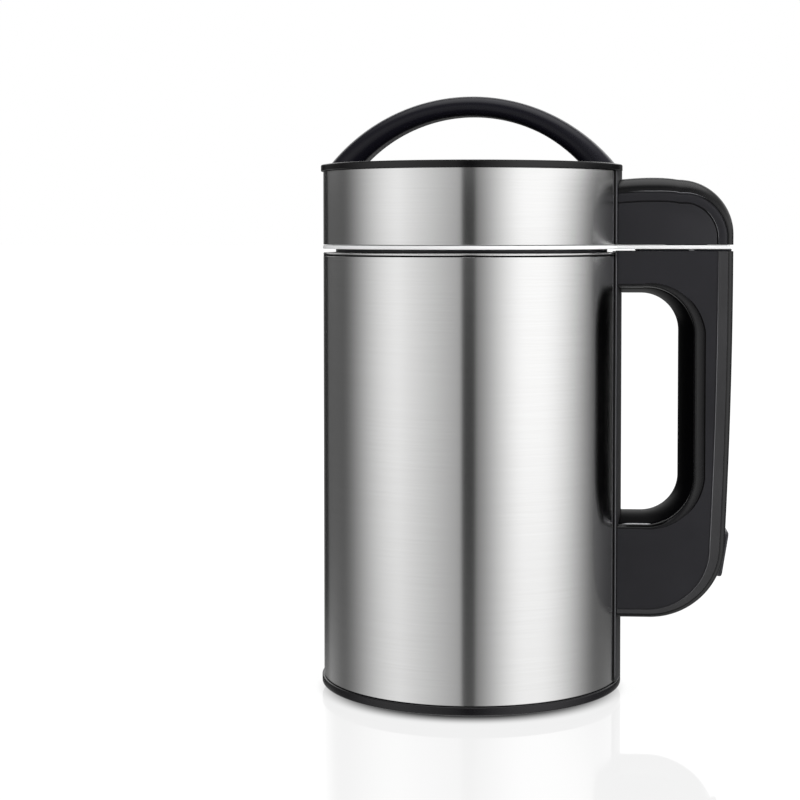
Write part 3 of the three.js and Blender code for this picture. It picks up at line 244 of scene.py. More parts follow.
def wound_paint(colour, rough, pitch):
    """Enamelled wire laid side by side round the poles."""
    def paint(sheet):
        x, y, z = sheet.split(sheet.place())
        reach = (x * x + y * y).math("SQRT")
        wave = ((reach + z) * (2 * math.pi / pitch)).math("SINE")
        low, high = shaded(colour, 0.55), shaded(colour, 1.1)
        return {
            "Base Color": sheet.mix(wave.run(-1, 1, 0, 1), low, high),
            "Roughness": rough + wave * 0.04,
            "Normal": sheet.bump(wave, 100 * MICRON),
        }
    return paint


def segment_paint(count):
    """Copper bars parted by dark slots round the axis."""
    def paint(sheet):
        x, y, _ = sheet.split(sheet.place())
        turn = x.math("ARCTAN2", y)
        wave = (turn * count).math("SINE")
        bar = wave.step(-0.9, -0.7)
        return {
            "Base Color": sheet.mix(bar, tone(0.05, 0.03, 0.02), tone(0.72, 0.4, 0.2)),
            "Roughness": 0.6 - bar * 0.3,
            "Metallic": bar,
        }
    return paint


def board_paint(sheet):
    """Green solder mask over copper tracks."""
    warp = sheet.add("ShaderNodeTexVoronoi", {"feature": "DISTANCE_TO_EDGE"}, {
        "Vector": sheet.place(), "Scale": 220,
    })
    track = Value(sheet, warp.outputs[0]).step(0.08, 0.04)
    return {
        "Base Color": sheet.mix(track, tone(0.015, 0.09, 0.04), tone(0.05, 0.2, 0.08)),
        "Roughness": 0.4 - track * 0.1,
        "Normal": sheet.bump(track, 30 * MICRON),
    }


def metal(name, paint, **fixed):
    return finish_of(name, paint, Metallic=1.0, **fixed)


def plastic(name, colour, rough, grain, depth, spread=0.1, **fixed):
    return finish_of(name, plain_paint(colour, rough, grain, depth, spread), IOR=1.47, **fixed)


def make_finishes():
    """Every finish: colour, roughness, cells of grain in a metre and the grain's depth in microns."""
    turned_hairs = {"Anisotropic_Rotation": 0.25}
    return {
        "brushed": metal("brushed_steel", steel_paint(0.76, 0.19, 2600, 8), Anisotropic=0.9, **turned_hairs),
        "polished": metal("polished_steel", steel_paint(0.74, 0.16, 900, 6), Anisotropic=0.4, **turned_hairs),
        "plain_steel": metal("zinc_plated_steel", plain_paint((0.6, 0.6, 0.58), 0.34, 1500, 10)),
        "aluminium": metal("cast_aluminium", plain_paint((0.62, 0.63, 0.64), 0.5, 900, 40)),
        "laminations": metal("motor_laminations", layered_paint((0.2, 0.2, 0.21), 0.45, 0.0011)),
        "copper": metal("enamelled_copper", wound_paint((0.62, 0.28, 0.12), 0.32, 0.0012)),
        "commutator": finish_of("commutator_bars", segment_paint(16)),
        "satin": plastic("black_satin_plastic", (0.0136, 0.0132, 0.0165), 0.36, 1900, 12),
        "lining": plastic("black_lining_plastic", (0.0014, 0.0014, 0.0018), 0.36, 900, 4,
                          Specular_IOR_Level=0.03),
        # A lighter copy of the black plastic for the handle's back: painted light where the back faces the
        # light from the right
        "lip": plastic("black_plastic_painted_lit", (0.036, 0.0355, 0.0375), 0.36, 1900, 12),
        # Glossy black for the covers' rolls round the finger gap: the gloss is real, and its darkness, well
        # under the satin's, is painted shade inside the gap
        "roll": plastic("gloss_roll_painted_shade", (0.0034, 0.0033, 0.0042), 0.26, 900, 4),
        "crown": plastic("black_polished_plastic", (0.0034, 0.0033, 0.0038), 0.27, 1500, 5),
        "arch": plastic("black_arch_plastic", (0.0064, 0.0060, 0.0104), 0.28, 1500, 8,
                        Specular_IOR_Level=0.3),
        "strip": plastic("dark_strip_plastic", (0.02, 0.02, 0.0215), 0.34, 1500, 10),
        "skirt": plastic("black_skirt_plastic", (0.0052, 0.0048, 0.0062), 0.24, 1200, 5,
                         Specular_IOR_Level=0.42),
        "gloss": plastic("black_gloss_plastic", (0.0012, 0.0012, 0.0015), 0.1, 500, 2,
                         Specular_IOR_Level=0.45),
        "rim": plastic("black_rim_plastic", (0.0014, 0.0013, 0.0018), 0.2, 900, 4, Specular_IOR_Level=0.45),
        # Painted shade: black that stands in for shade, in the shell's groove and in lines round the finger
        # gap
        "shadow": plastic("painted_shade_black", (0.0012, 0.0012, 0.0013), 0.6, 900, 6, Specular_IOR_Level=0.05),
        "grey": plastic("grey_plastic", (0.16, 0.16, 0.165), 0.4, 1500, 10, 0.08),
        "white": plastic("white_trim_plastic", (0.87, 0.872, 0.876), 0.3, 1200, 6, 0.01),
        # Painted highlights: light grey plastic for beads that stand in for light caught on edges
        "painted_highlight": plastic("painted_highlight_plastic", (0.16, 0.16, 0.17), 0.35, 1500, 6),
        # Painted glint: a bright bead that stands in for a highlight on the lower edge of the finger gap's
        # lining
        "glint": plastic("painted_glint_plastic", (0.5, 0.5, 0.52), 0.3, 1500, 6),
        "lamp": plastic("indicator_lens", (0.55, 0.16, 0.05), 0.15, 500, 3, Coat_Weight=0.5),
        "rubber": finish_of("dark_rubber", plain_paint((0.02, 0.02, 0.021), 0.75, 1400, 50, 0.2)),
        "silicone": finish_of("pale_silicone", plain_paint((0.6, 0.62, 0.61), 0.5, 900, 20, 0.05)),
        "board": finish_of("circuit_board", board_paint),
    }


# Mesh making
def rounded(outline, steps=5):
    """A closed outline with rounded corners. A corner is (x, y) or (x, y, radius)."""
    out = []
    count = len(outline)
    for i, corner in enumerate(outline):
        here = Vector(corner[:2])
        radius = corner[2] if len(corner) > 2 else 0
        before = Vector(outline[i - 1][:2]) - here
        after = Vector(outline[(i + 1) % count][:2]) - here
        if radius <= 0 or before.length < 1e-6 or after.length < 1e-6:
            out.append(here)
            continue
        angle = before.angle(after)
        if angle > math.pi - 0.01:
            out.append(here)
            continue
        reach = min(radius / math.tan(angle / 2), before.length * 0.49, after.length * 0.49)
        radius = reach * math.tan(angle / 2)
        middle = (before.normalized() + after.normalized()).normalized()
        centre = here + middle * (radius / math.sin(angle / 2))
        start = here + before.normalized() * reach - centre
        end = here + after.normalized() * reach - centre
        sweep = math.atan2(start.cross(end), start.dot(end))
        for k in range(steps + 1):
            turn = sweep * k / steps
            out.append(centre + Vector((
                start.x * math.cos(turn) - start.y * math.sin(turn),
                start.x * math.sin(turn) + start.y * math.cos(turn),
            )))
    return [tuple(p) for p in out]


def lathe(outline, steps=ROUND):
    """Vertices and faces of a closed outline of (radius, height) turned about the Z axis."""
    points, faces, rows = [], [], []
    for radius, height in outline:
        if radius < 1e-6:
            rows.append([len(points)] * steps)
            points.append((0, 0, height))
        else:
            rows.append(list(range(len(points), len(points) + steps)))
            for k in range(steps):
                turn = 2 * math.pi * k / steps
                points.append((radius * math.cos(turn), radius * math.sin(turn), height))
    for i, row in enumerate(rows):
        above = rows[(i + 1) % len(rows)]
        for k in range(steps):
            j = (k + 1) % steps
            face = []
            for index in (row[k], row[j], above[j], above[k]):
                if index not in face:
                    face.append(index)
            if len(face) > 2:
                faces.append(face)
    return points, faces


def tube(rings, closed=True, capped=True):
    """Vertices and faces of a skin over rings of points; closed joins a ring's last point to its first."""
    size = len(rings[0])
    points = [p for ring in rings for p in ring]
    faces = []
    for i in range(len(rings) - 1):
        for j in range(size if closed else size - 1):
            a, b = i * size + j, i * size + (j + 1) % size
            faces.append([a, a + size, b + size, b])
    if capped:
        faces.append(list(range(size)))
        faces.append(list(range(len(points) - size, len(points)))[::-1])
    return points, faces


def prism(outline, low, high):
    """Vertices and faces of a flat outline of (x, y) raised from low to high."""
    return tube([[(x, y, low) for x, y in outline], [(x, y, high) for x, y in outline]])


def circle(radius, x=0, y=0, steps=FINE):
    return [(x + radius * math.cos(2 * math.pi * k / steps), y + radius * math.sin(2 * math.pi * k / steps))
            for k in range(steps)]


def box_outline(x0, x1, y0, y1, radius):
    return rounded([(x0, y0, radius), (x1, y0, radius), (x1, y1, radius), (x0, y1, radius)])


def turned_by(shape, matrix):
    points, faces = shape
    return [tuple(matrix @ Vector(p)) for p in points], faces


def along_y(shape):
    """Lays what stands along Z along Y, keeping X: (x, y, z) becomes (x, z, y) turned the right way out."""
    points, faces = shape
    return [(x, z, y) for x, y, z in points], [face[::-1] for face in faces]


@contextmanager
def editing(mesh):
    """Opens a mesh for changes, and writes them back."""
    work = bmesh.new()
    work.from_mesh(mesh)
    yield work
    work.to_mesh(mesh)
    work.free()


def linked(name, mesh):
    thing = bpy.data.objects.new(name, mesh)
    scene.collection.objects.link(thing)
    return thing


def mesh_object(name, shape, closed=True):
    points, faces = shape
    mesh = bpy.data.meshes.new(name)
    mesh.from_pydata([(x * MM, y * MM, z * MM) for x, y, z in points], [], faces)
    with editing(mesh) as work:
        bmesh.ops.remove_doubles(work, verts=work.verts, dist=SAME)
        bmesh.ops.dissolve_degenerate(work, edges=work.edges, dist=SAME)
        if closed:
            bmesh.ops.recalc_face_normals(work, faces=work.faces)
    return linked(name, mesh)


def outward(thing):
    """Makes every face of a closed mesh look outward."""
    with editing(thing.data) as work:
        bmesh.ops.recalc_face_normals(work, faces=work.faces)
    return thing


def moved(thing, x, y):
    thing.data.transform(Matrix.Translation((x * MM, y * MM, 0)))
    return thing


def applied(thing):
    """Turns an object's live modifiers into plain mesh."""
    bpy.context.view_layer.update()
    evaluated = thing.evaluated_get(bpy.context.evaluated_depsgraph_get())
    mesh = bpy.data.meshes.new_from_object(evaluated)
    thing.modifiers.clear()
    old = thing.data
    thing.data = mesh
    bpy.data.meshes.remove(old)
    return thing


def bevelled(thing, width, segments=2, angle=40):
    bevel = thing.modifiers.new("edges", "BEVEL")
    bevel.width = width * MM
    bevel.segments = segments
    bevel.limit_method = "ANGLE"
    bevel.angle_limit = math.radians(angle)
    bevel.harden_normals = False
    return applied(thing)


def cut_away(thing, *shapes, keep=False):
    """Takes closed shapes out of an object, or keeps only what lies in them."""
    for shape in shapes:
        tool = mesh_object("cutter", shape)
        knife = thing.modifiers.new("cut", "BOOLEAN")
        knife.operation = "INTERSECT" if keep else "DIFFERENCE"
        knife.solver = "EXACT"
        knife.object = tool
        applied(thing)
        bpy.data.objects.remove(tool)
    return thing


def merged(thing, *others):
    """Adds the meshes of other objects to the first one's."""
    with editing(thing.data) as work:
        for item in others:
            work.from_mesh(item.data)
            bpy.data.objects.remove(item)
    return thing


def dress(thing, material, body, slot, *replaced, angle=SMOOTH_ANGLE):
    """Gives a finished piece its material, shading and body, and hides the nodes it stands for; slot is not
    used.
    """
    mesh = thing.data
    mesh.materials.clear()
    mesh.materials.append(FINISH[material])
    mesh.polygons.foreach_set("material_index", [0] * len(mesh.polygons))
    mesh.polygons.foreach_set("use_smooth", [True] * len(mesh.polygons))
    mesh.set_sharp_from_angle(angle=angle)
    mesh.update()
    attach(thing, body)
    if replaced:
        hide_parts(*replaced)
    return thing


# Geometry Nodes kits for what repeats or follows a path
class Kit(Sheet):
    """A Geometry Nodes tree with named inputs. It is applied to a mesh of places, of a path or of a piece."""

    sockets = {"size": "NodeSocketFloat", "share": "NodeSocketFloat", "count": "NodeSocketInt",
               "way": "NodeSocketVector", "finish": "NodeSocketMaterial"}

    def __init__(self, name, **kinds):
        super().__init__(bpy.data.node_groups.new(name, "GeometryNodeTree"))
        face = self.tree.interface
        face.new_socket("Geometry", in_out="INPUT", socket_type="NodeSocketGeometry")
        face.new_socket("Geometry", in_out="OUTPUT", socket_type="NodeSocketGeometry")
        self.kinds = kinds | {"finish": "finish"}
        self.keys = {label: face.new_socket(label, in_out="INPUT", socket_type=self.sockets[kind]).identifier
                     for label, kind in self.kinds.items()}
        self.entry = self.add("NodeGroupInput")
        self.places = self.entry.outputs["Geometry"]

    def input(self, label):
        return Value(self, self.entry.outputs[label])

    def out(self, kind, inputs=None, settings=None):
        return self.add(kind, settings, inputs).outputs[0]

    def point(self, x=0, y=0, z=0):
        return self.out("ShaderNodeCombineXYZ", {"X": x, "Y": y, "Z": z})

    def moved(self, geometry, x=0, y=0, z=0):
        return self.out("GeometryNodeTransform", {"Geometry": geometry, "Translation": self.point(x, y, z)})

    def joined(self, *parts):
        node = self.add("GeometryNodeJoinGeometry")
        for part in parts:
            self.tree.links.new(part, node.inputs[0])
        return node.outputs[0]

    def less(self, solid, tool):
        return self.out("GeometryNodeMeshBoolean", {"Mesh 1": solid, "Mesh 2": tool},
                        {"operation": "DIFFERENCE", "solver": "EXACT"})

    def end(self, geometry):
        whole = self.out("GeometryNodeRealizeInstances", {"Geometry": geometry})
        painted = self.out("GeometryNodeSetMaterial", {"Geometry": whole, "Material": self.input("finish")})
        self.add("NodeGroupOutput", None, {"Geometry": painted})

    def applied_to(self, thing, **values):
        """Turns an object into the tree's result. Sizes are in millimetres; a finish is given by name."""
        maker = thing.modifiers.new("kit", "NODES")
        maker.node_group = self.tree
        for label, value in values.items():
            if self.kinds[label] == "size":
                value *= MM
            elif self.kinds[label] == "finish":
                value = FINISH[value]
            maker[self.keys[label]] = value
        return applied(thing)

    def run(self, name, places, lines=(), **values):
        """The tree's result on points in millimetres and the lines that join them, as an object."""
        mesh = bpy.data.meshes.new(name)
        mesh.from_pydata([tuple(Vector(p) * MM) for p in places], lines, [])
        return self.applied_to(linked(name, mesh), **values)


def screw_kit():
    """Screws on places: a chamfered head with a cross recess, and a shank the other way along the axis."""
    kit = Kit("screws", head_radius="size", head_height="size", recess="size", shank_radius="size",
              shank_length="size", axis="way")
    radius, height, recess = kit.input("head_radius"), kit.input("head_height"), kit.input("recess")
    top_share, bar_share, sides = 0.72, 0.26, 40
    lower = kit.out("GeometryNodeMeshCylinder", {"Vertices": sides, "Radius": radius, "Depth": height * 0.5})
    upper = kit.out("GeometryNodeMeshCone", {
        "Vertices": sides, "Radius Bottom": radius, "Radius Top": radius * top_share, "Depth": height * 0.5})
    bars = [kit.out("GeometryNodeMeshCube", {"Size": kit.point(*size)}) for size in (
        (recess, recess * bar_share, height), (recess * bar_share, recess, height))]
    upper = kit.moved(upper, z=height * 0.5)
    for bar in bars:
        upper = kit.less(upper, kit.moved(bar, z=height))
    head = kit.joined(kit.moved(lower, z=height * 0.25), upper)
    length = kit.input("shank_length")
    shank = kit.out("GeometryNodeMeshCylinder", {
        "Vertices": 24, "Radius": kit.input("shank_radius"), "Depth": length})
    screw = kit.joined(head, kit.moved(shank, z=length * -0.5))
    aim = kit.out("FunctionNodeAlignRotationToVector", {"Vector": kit.input("axis")}, {"axis": "Z"})
    kit.end(kit.out("GeometryNodeInstanceOnPoints", {
        "Points": kit.places, "Instance": screw, "Rotation": aim}))
    return kit


def bead_kit():
    """A fine bead along a path, thinned towards both ends."""
    kit = Kit("beads", radius="size", taper="share")
    path = kit.out("GeometryNodeMeshToCurve", {"Mesh": kit.places})
    share = Value(kit, kit.out("GeometryNodeSplineParameter"))
    taper = kit.input("taper")
    width = share.math("DIVIDE", taper).math("MINIMUM", (1 - share).math("DIVIDE", taper)).math("MINIMUM", 1)
    ring = kit.out("GeometryNodeCurvePrimitiveCircle", {"Resolution": 8, "Radius": kit.input("radius")})
    kit.end(kit.out("GeometryNodeCurveToMesh", {
        "Curve": path, "Profile Curve": ring, "Scale": width, "Fill Caps": True}))
    return kit


def turning_kit():
    """Turns a closed outline, drawn as distances out from a circle and down, once round that circle."""
    kit = Kit("turned", reach="size", count="count")
    profile = kit.out("GeometryNodeMeshToCurve", {"Mesh": kit.places})
    rail = kit.out("GeometryNodeCurvePrimitiveCircle", {
        "Resolution": kit.input("count"), "Radius": kit.input("reach")})
    kit.end(kit.out("GeometryNodeCurveToMesh", {"Curve": rail, "Profile Curve": profile}))
    return kit


def turned(name, outline):
    """A ring from a closed outline of (radius, height)."""
    places = [(radius - BODY_R, -height, 0) for radius, height in outline]
    lines = [(i, (i + 1) % len(places)) for i in range(len(places))]
    ring = TURNS.run(name, places, lines, reach=BODY_R, count=ROUND, finish="brushed")
    return outward(ring)


def pin_kit():
    """Upright pins on places."""
    kit = Kit("pins", radius="size", height="size")
    height = kit.input("height")
    pin = kit.out("GeometryNodeMeshCylinder", {
        "Vertices": COARSE, "Radius": kit.input("radius"), "Depth": height})
    kit.end(kit.out("GeometryNodeInstanceOnPoints", {
        "Points": kit.places, "Instance": kit.moved(pin, z=height * 0.5)}))
    return kit


def slot_kit():
    """Round-ended slots cut through a wall, evenly round the axis."""
    kit = Kit("slots", count="count", width="size", height="size", reach="size", depth="size", rise="size")
    width, height = kit.input("width"), kit.input("height")
    outline = kit.out("GeometryNodeCurvePrimitiveQuadrilateral", {"Width": width, "Height": height})
    outline = kit.out("GeometryNodeFilletCurve", {
        "Curve": outline, "Count": 8, "Radius": width * 0.49, "Limit Radius": True}, {"mode": "POLY"})
    line = kit.out("GeometryNodeCurvePrimitiveLine", {
        "Start": kit.point(x=kit.input("depth") * -0.5), "End": kit.point(x=kit.input("depth") * 0.5)})
    tool = kit.out("GeometryNodeCurveToMesh", {
        "Curve": line, "Profile Curve": outline, "Fill Caps": True})
    circle_of_places = kit.out("GeometryNodeMeshCircle", {
        "Vertices": kit.input("count"), "Radius": kit.input("reach")})
    place = kit.out("GeometryNodeInputPosition")
    aim = kit.out("FunctionNodeAlignRotationToVector", {"Vector": place}, {"axis": "X", "pivot_axis": "Z"})
    tools = kit.out("GeometryNodeInstanceOnPoints", {
        "Points": circle_of_places, "Instance": tool, "Rotation": aim})
    tools = kit.out("GeometryNodeRealizeInstances", {"Geometry": kit.moved(tools, z=kit.input("rise"))})
    kit.end(kit.less(kit.places, tools))
    return kit


# Sizes that the pieces share: the plain nodes' own, and a few that the frame doesn't tell
class Span:
    """The box of a plain node in millimetres. A round node's right is its radius."""

    def __init__(self, node):
        (self.left, self.front, self.bottom), (self.right, self.back, self.top) = (
            [round(value / MM, 2) for value in corner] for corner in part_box(node))

    def middle(self):
        pairs = (self.left, self.right), (self.front, self.back), (self.bottom, self.top)
        return [round((low + high) / 2, 2) for low, high in pairs]


SHELL, POT, STRIP, SPINE = (
    Span(node) for node in ("body_shell", "inner_pot", "handle_flange", "handle_spine"))
TRIM, RING, LID = Span("trim_plate"), Span("head_ring"), Span("top_cover")
GRIP, SOCKET, PLUG = Span("grip_insert"), Span("coupler_socket"), Span("coupler_plug")

# The clearance between two pieces, and the usual radii of their edges
FIT = 0.3
FAINT, CRISP, EDGE, SOFT = 0.1, 0.2, 0.3, 0.5
# How far a tool reaches past what it cuts, and heights below and above the whole object
OVERRUN = 4
UNDER_ALL, OVER_ALL = -20, 345

BODY_R = SHELL.right
FIT_R = POT.right
SHELL_IN = FIT_R + FIT
STRIP_IN = BODY_R + FIT
HANDLE_START = STRIP.right + FIT
STRIP_HALF_ANGLE = 0.295
INSIDE_X = BODY_R - 4
POT_IN = BODY_R - 11.1
POT_WALL = 0.8
POT_FLOOR = 39.7

HALF_WIDTH = SPINE.back
HANDLE_REACH = SPINE.right
CORNER_REACH = HANDLE_REACH - 3.8
SIDE_WALL = 2.2
SPINE_WALL = 2.5
COVER_WALL = 1.4
GRIP_WALL = 2.2
GROOVE = 0.8
TONGUE = 1.2
TONGUE_TOP, TONGUE_BOTTOM = SIDE_WALL + 0.1, SIDE_WALL + 0.9
SKIN = 1.0
LAP = 0.05

SIDE_LIP, BOTTOM_LIP, CAP_LIP = 8.3, 4.3, 12.6
SIDE_ROUND, BOTTOM_ROUND, CROWN_ROUND = 3, 2, 7.6
SIDE_BULGE, TOP_BULGE, LOW_BULGE = 7, 3, 4.8
GAP_MIDDLE = GRIP.middle()[2]
SIDE_ROLL, END_ROLL = 6, 2.4
ROLL_DEPTH = 3.2
CAP_TOP = LID.top - 8.5
CAP_CORNER = 29.4

BUTTON_X = (-22, 0, 22)
BUTTON_Y = -53
BUTTON_HOLE = 7.3


# Places and rows that repeat
def around(count, first, reach):
    turns = [first + 2 * math.pi * k / count for k in range(count)]
    return [(reach * math.cos(turn), reach * math.sin(turn)) for turn in turns]


def arc(x, y, radius, start, end, steps=12):
    """Points round a centre from one angle to another, in degrees."""
    turns = [math.radians(start + (end - start) * k / steps) for k in range(steps + 1)]
    return [(x + radius * math.cos(turn), y + radius * math.sin(turn)) for turn in turns]


def screws(name, nodes, places, axis, head_radius, head_height, recess, shank_radius, shank_length):
    row = SCREWS.run(name, places, head_radius=head_radius, head_height=head_height, recess=recess,
                     shank_radius=shank_radius, shank_length=shank_length, axis=axis, finish="plain_steel")
    dress(row, "plain_steel", "cup", "plain_steel", *nodes)


# The cup
def base():
    foot, ring, cover, screw = Span("base_plate"), Span("grip_ring"), Span("base_cover"), Span("base_screw_1")
    head_radius, head_height, head_depth, shank_radius = screw.right, 1.6, 2.2, 2
    places = around(3, math.pi / 2, screw.middle()[1])
    ring_in = ring.right - 7
    plate = mesh_object("foot_plate", lathe(rounded([
        (0, 0), (ring_in - FIT, 0, EDGE), (ring_in - FIT, ring.top + FIT), (ring.right + FIT, ring.top + FIT),
        (ring.right + FIT, 0, EDGE), (foot.right, 0, SOFT), (foot.right, foot.top, EDGE), (0, foot.top),
    ])))
    cut_away(plate, *[prism(circle(head_radius + FIT, x, y), -OVERRUN, head_depth) for x, y in places])
    dress(plate, "satin", "cup", "black_plastic", "base_plate")

    first_rib, rib_pitch, rib_depth, rib_count = 1.2, 2, 0.6, 3
    ribs = [(ring_in, ring.top), (ring_in, 0)]
    for k in range(rib_count):
        start = ring_in + first_rib + rib_pitch * k
        ribs += [(start, 0, FAINT), (start + rib_pitch / 4, rib_depth, FAINT)]
        ribs += [(start + rib_pitch / 2, 0, FAINT)]
    ribs += [(ring.right, 0, CRISP), (ring.right, ring.top, CRISP)]
    dress(mesh_object("anti_slip_ring", lathe(rounded(ribs, 2))), "rubber", "cup", "dark_rubber", "grip_ring")

    floor, wall, ledge, low_round, high_round = 2.5, 2, 0.4, 1.3, 0.7
    lip_top, floor_top = SHELL.bottom - FIT, cover.bottom + floor
    skirt = mesh_object("base_skirt", lathe(rounded([
        (0, cover.bottom), (cover.right, cover.bottom, low_round), (cover.right, lip_top, high_round),
        (BODY_R - ledge, lip_top, CRISP), (FIT_R, lip_top), (FIT_R, cover.top, EDGE),
        (FIT_R - wall, cover.top, EDGE), (FIT_R - wall, floor_top, SOFT), (0, floor_top),
    ], 6)))
    dress(skirt, "skirt", "cup", "black_plastic", "base_cover")
    screws("base_screws", [f"base_screw_{i + 1}" for i in range(3)],
           [(x, y, screw.bottom + head_height) for x, y in places], (0, 0, -1),
           head_radius, head_height, head_radius, shank_radius, screw.top - screw.bottom - head_height)


def cup():
    roll_height, roll_round, groove_height, groove_depth, groove_round = 1.1, 0.54, 0.8, 0.6, 0.15
    collar_in, collar_bottom = FIT_R - 2.3, SHELL.top - 0.7
    groove_top, groove_in = SHELL.top - roll_height, BODY_R - groove_depth
    groove_bottom = groove_top - groove_height
    shell = turned("outer_shell", rounded([
        (SHELL_IN, SHELL.bottom, CRISP), (BODY_R, SHELL.bottom, EDGE), (BODY_R, groove_bottom, groove_round),
        (groove_in, groove_bottom, FAINT), (groove_in, groove_top, FAINT),
        (BODY_R, groove_top, roll_round), (BODY_R, SHELL.top, roll_round),
        (collar_in, SHELL.top, EDGE), (collar_in, collar_bottom, EDGE), (SHELL_IN, collar_bottom, CRISP),
    ], 6))
    dress(shell, "brushed", "cup", "brushed_steel", "body_shell")
    # Painted shade: a thin black ring lining the groove under the rolled edge stands in for the shade in the
    # groove; it is no rubber part
    groove = turned("groove_painted_shade", [
        (groove_in - FAINT, groove_bottom), (BODY_R - 0.08, groove_bottom + LAP),
        (BODY_R - 0.12, groove_top - FAINT), (groove_in - FAINT, groove_top)])
    dress(groove, "shadow", "cup", "dark_rubber")

    corner, stud_radius, stud_sunk = 12, 4, 0.2
    corner_x, corner_z = POT_IN - corner, POT_FLOOR + corner
    flange_bottom = POT.top - POT_WALL
    pot = mesh_object("cooking_pot", lathe(
        [(0, POT_FLOOR - POT_WALL)] + arc(corner_x, corner_z, corner + POT_WALL, -90, 0)
        + [(POT_IN + POT_WALL, flange_bottom), (FIT_R, flange_bottom), (FIT_R, POT.top)]
        + arc(POT_IN + POT_WALL, flange_bottom, POT_WALL, 90, 180, 4)
        + arc(corner_x, corner_z, corner, 0, -90) + [(0, POT_FLOOR)]
    ))
    places = [(x, y, POT.bottom) for x, y in around(3, math.pi / 2, Span("base_screw_1").middle()[1])]
    stud_height = POT_FLOOR - POT_WALL + stud_sunk - POT.bottom
    studs = outward(PINS.run("studs", places, radius=stud_radius, height=stud_height, finish="polished"))
    dress(merged(pot, studs), "polished", "cup", "polished_steel", "inner_pot")


def level_marks():
    """Raised lines inside the pot for the lowest and the highest filling."""
    low_filling, high_filling, half_angle, thickness = 128, 172, 12, 0.3
    for name, height in (("low_mark", low_filling), ("high_mark", high_filling)):
        points = [(x, y, height) for x, y in arc(0, 0, POT_IN - LAP, 90 - half_angle, 90 + half_angle, 24)]
        bead(name, points, thickness, 0.02, "cup", "polished")


def curved_strip(name, node, body):
    """A thin strip bent round the shell, with soft long edges."""
    steps, outer_lap = 24, 0.35
    box = Span(node)
    lean = outer_lap / STRIP.right
    section = []
    for k in range(steps + 1):
        turn = -STRIP_HALF_ANGLE + lean + 2 * (STRIP_HALF_ANGLE - lean) * k / steps
        section.append((STRIP.right * math.cos(turn), STRIP.right * math.sin(turn)))
    edge = [(STRIP.right - 0.12, 0.1), (STRIP.right - 0.4, 0), (STRIP_IN, 0)]
    for radius, back in edge:
        turn = STRIP_HALF_ANGLE - back / STRIP.right
        section.append((radius * math.cos(turn), radius * math.sin(turn)))
    for k in range(1, steps):
        turn = STRIP_HALF_ANGLE - 2 * STRIP_HALF_ANGLE * k / steps
        section.append((STRIP_IN * math.cos(turn), STRIP_IN * math.sin(turn)))
    for radius, back in edge[::-1]:
        turn = STRIP_HALF_ANGLE - back / STRIP.right
        section.append((radius * math.cos(turn), -radius * math.sin(turn)))
    strip = mesh_object(name, prism(section, box.bottom, box.top))
    dress(strip, "strip", body, "black_plastic", node, angle=math.radians(50))


# Edges of the handle, the cap and the finger gap, in the plane of X and Z
def station(at, along):
    """A place on an edge: the point, the direction square to the run, and how far the run lies flat."""
    along = Vector(along).normalized()
    turn = abs(math.atan2(along.x, -along.y)) / (math.pi / 2)
    return Vector(at), Vector((along.y, -along.x)), min(turn, 2 - turn)


def bend(x, z, radius, start, end, steps):
    sense = 1 if end > start else -1
    out = []
    for k in range(steps + 1):
        turn = start + (end - start) * k / steps
        out.append(station((x + radius * math.cos(turn), z + radius * math.sin(turn)),
                           (-math.sin(turn) * sense, math.cos(turn) * sense)))
    return out


def bow(start, control, end, steps):
    start, control, end = Vector(start), Vector(control), Vector(end)
    out = []
    for k in range(steps + 1):
        t = k / steps
        at = start * (1 - t) ** 2 + control * (2 * t * (1 - t)) + end * t ** 2
        out.append(station(at, (control - start) * (1 - t) + (end - control) * t))
    return out


def straight(start, end, steps):
    start, end = Vector(start), Vector(end)
    return [station(start.lerp(end, k / steps), end - start) for k in range(steps + 1)]


def handle_edge():
    corner = 40.4
    corner_x, corner_z = CORNER_REACH - corner, SPINE.bottom + corner
    lean = math.atan2(2 * (HANDLE_REACH - CORNER_REACH), SPINE.top - corner_z)
    meet = Vector((corner_x + corner * math.cos(lean), corner_z - corner * math.sin(lean)))
    control = (HANDLE_REACH, meet.y + (HANDLE_REACH - meet.x) / math.tan(lean))
    return (bow((HANDLE_REACH, SPINE.top), control, meet, 32)
            + bend(corner_x, corner_z, corner, -lean, -math.pi / 2, 40)[1:]
            + straight((corner_x, SPINE.bottom), (INSIDE_X, SPINE.bottom), 6)[1:])


def cap_edge():
    inner_drop, crest_x, crest_rise = 0.3, 100, 2.4
    start, low = HANDLE_REACH - CAP_CORNER, CAP_TOP - CAP_CORNER
    return (bow((INSIDE_X, CAP_TOP - inner_drop), (crest_x, CAP_TOP + crest_rise), (start, CAP_TOP), 24)
            + bend(start, low, CAP_CORNER, math.pi / 2, 0, 40)[1:]
            + straight((HANDLE_REACH, low), (HANDLE_REACH, RING.bottom), 4)[1:])


def gap_edge():
    top_round, low_round = 20.6, 20.3
    reach = GRIP.right - SIDE_BULGE - GRIP_WALL
    top, low = GRIP.top - TOP_BULGE - GRIP_WALL, GRIP.bottom + TOP_BULGE + GRIP_WALL
    return (straight((INSIDE_X, top), (reach - top_round, top), 6)[:-1]
            + bend(reach - top_round, top - top_round, top_round, math.pi / 2, 0, 32)
            + straight((reach, top - top_round), (reach, low + low_round), 12)[1:-1]
            + bend(reach - low_round, low + low_round, low_round, 0, -math.pi / 2, 32)
            + straight((reach - low_round, low), (INSIDE_X, low), 6)[1:])


def mixed(start, end, share):
    return start + (end - start) * share


def off(place, distance):
    at, square, _ = place
    return at + square * distance


def ring_at(place, section):
    out = []
    for distance, y in section:
        point = off(place, distance)
        out.append((point.x, y, point.y))
    return out


def swept(places, section):
    """A skin whose section at each place on an edge is section(place): distances from the edge, and Y."""
    return tube([ring_at(place, section(place)) for place in places])


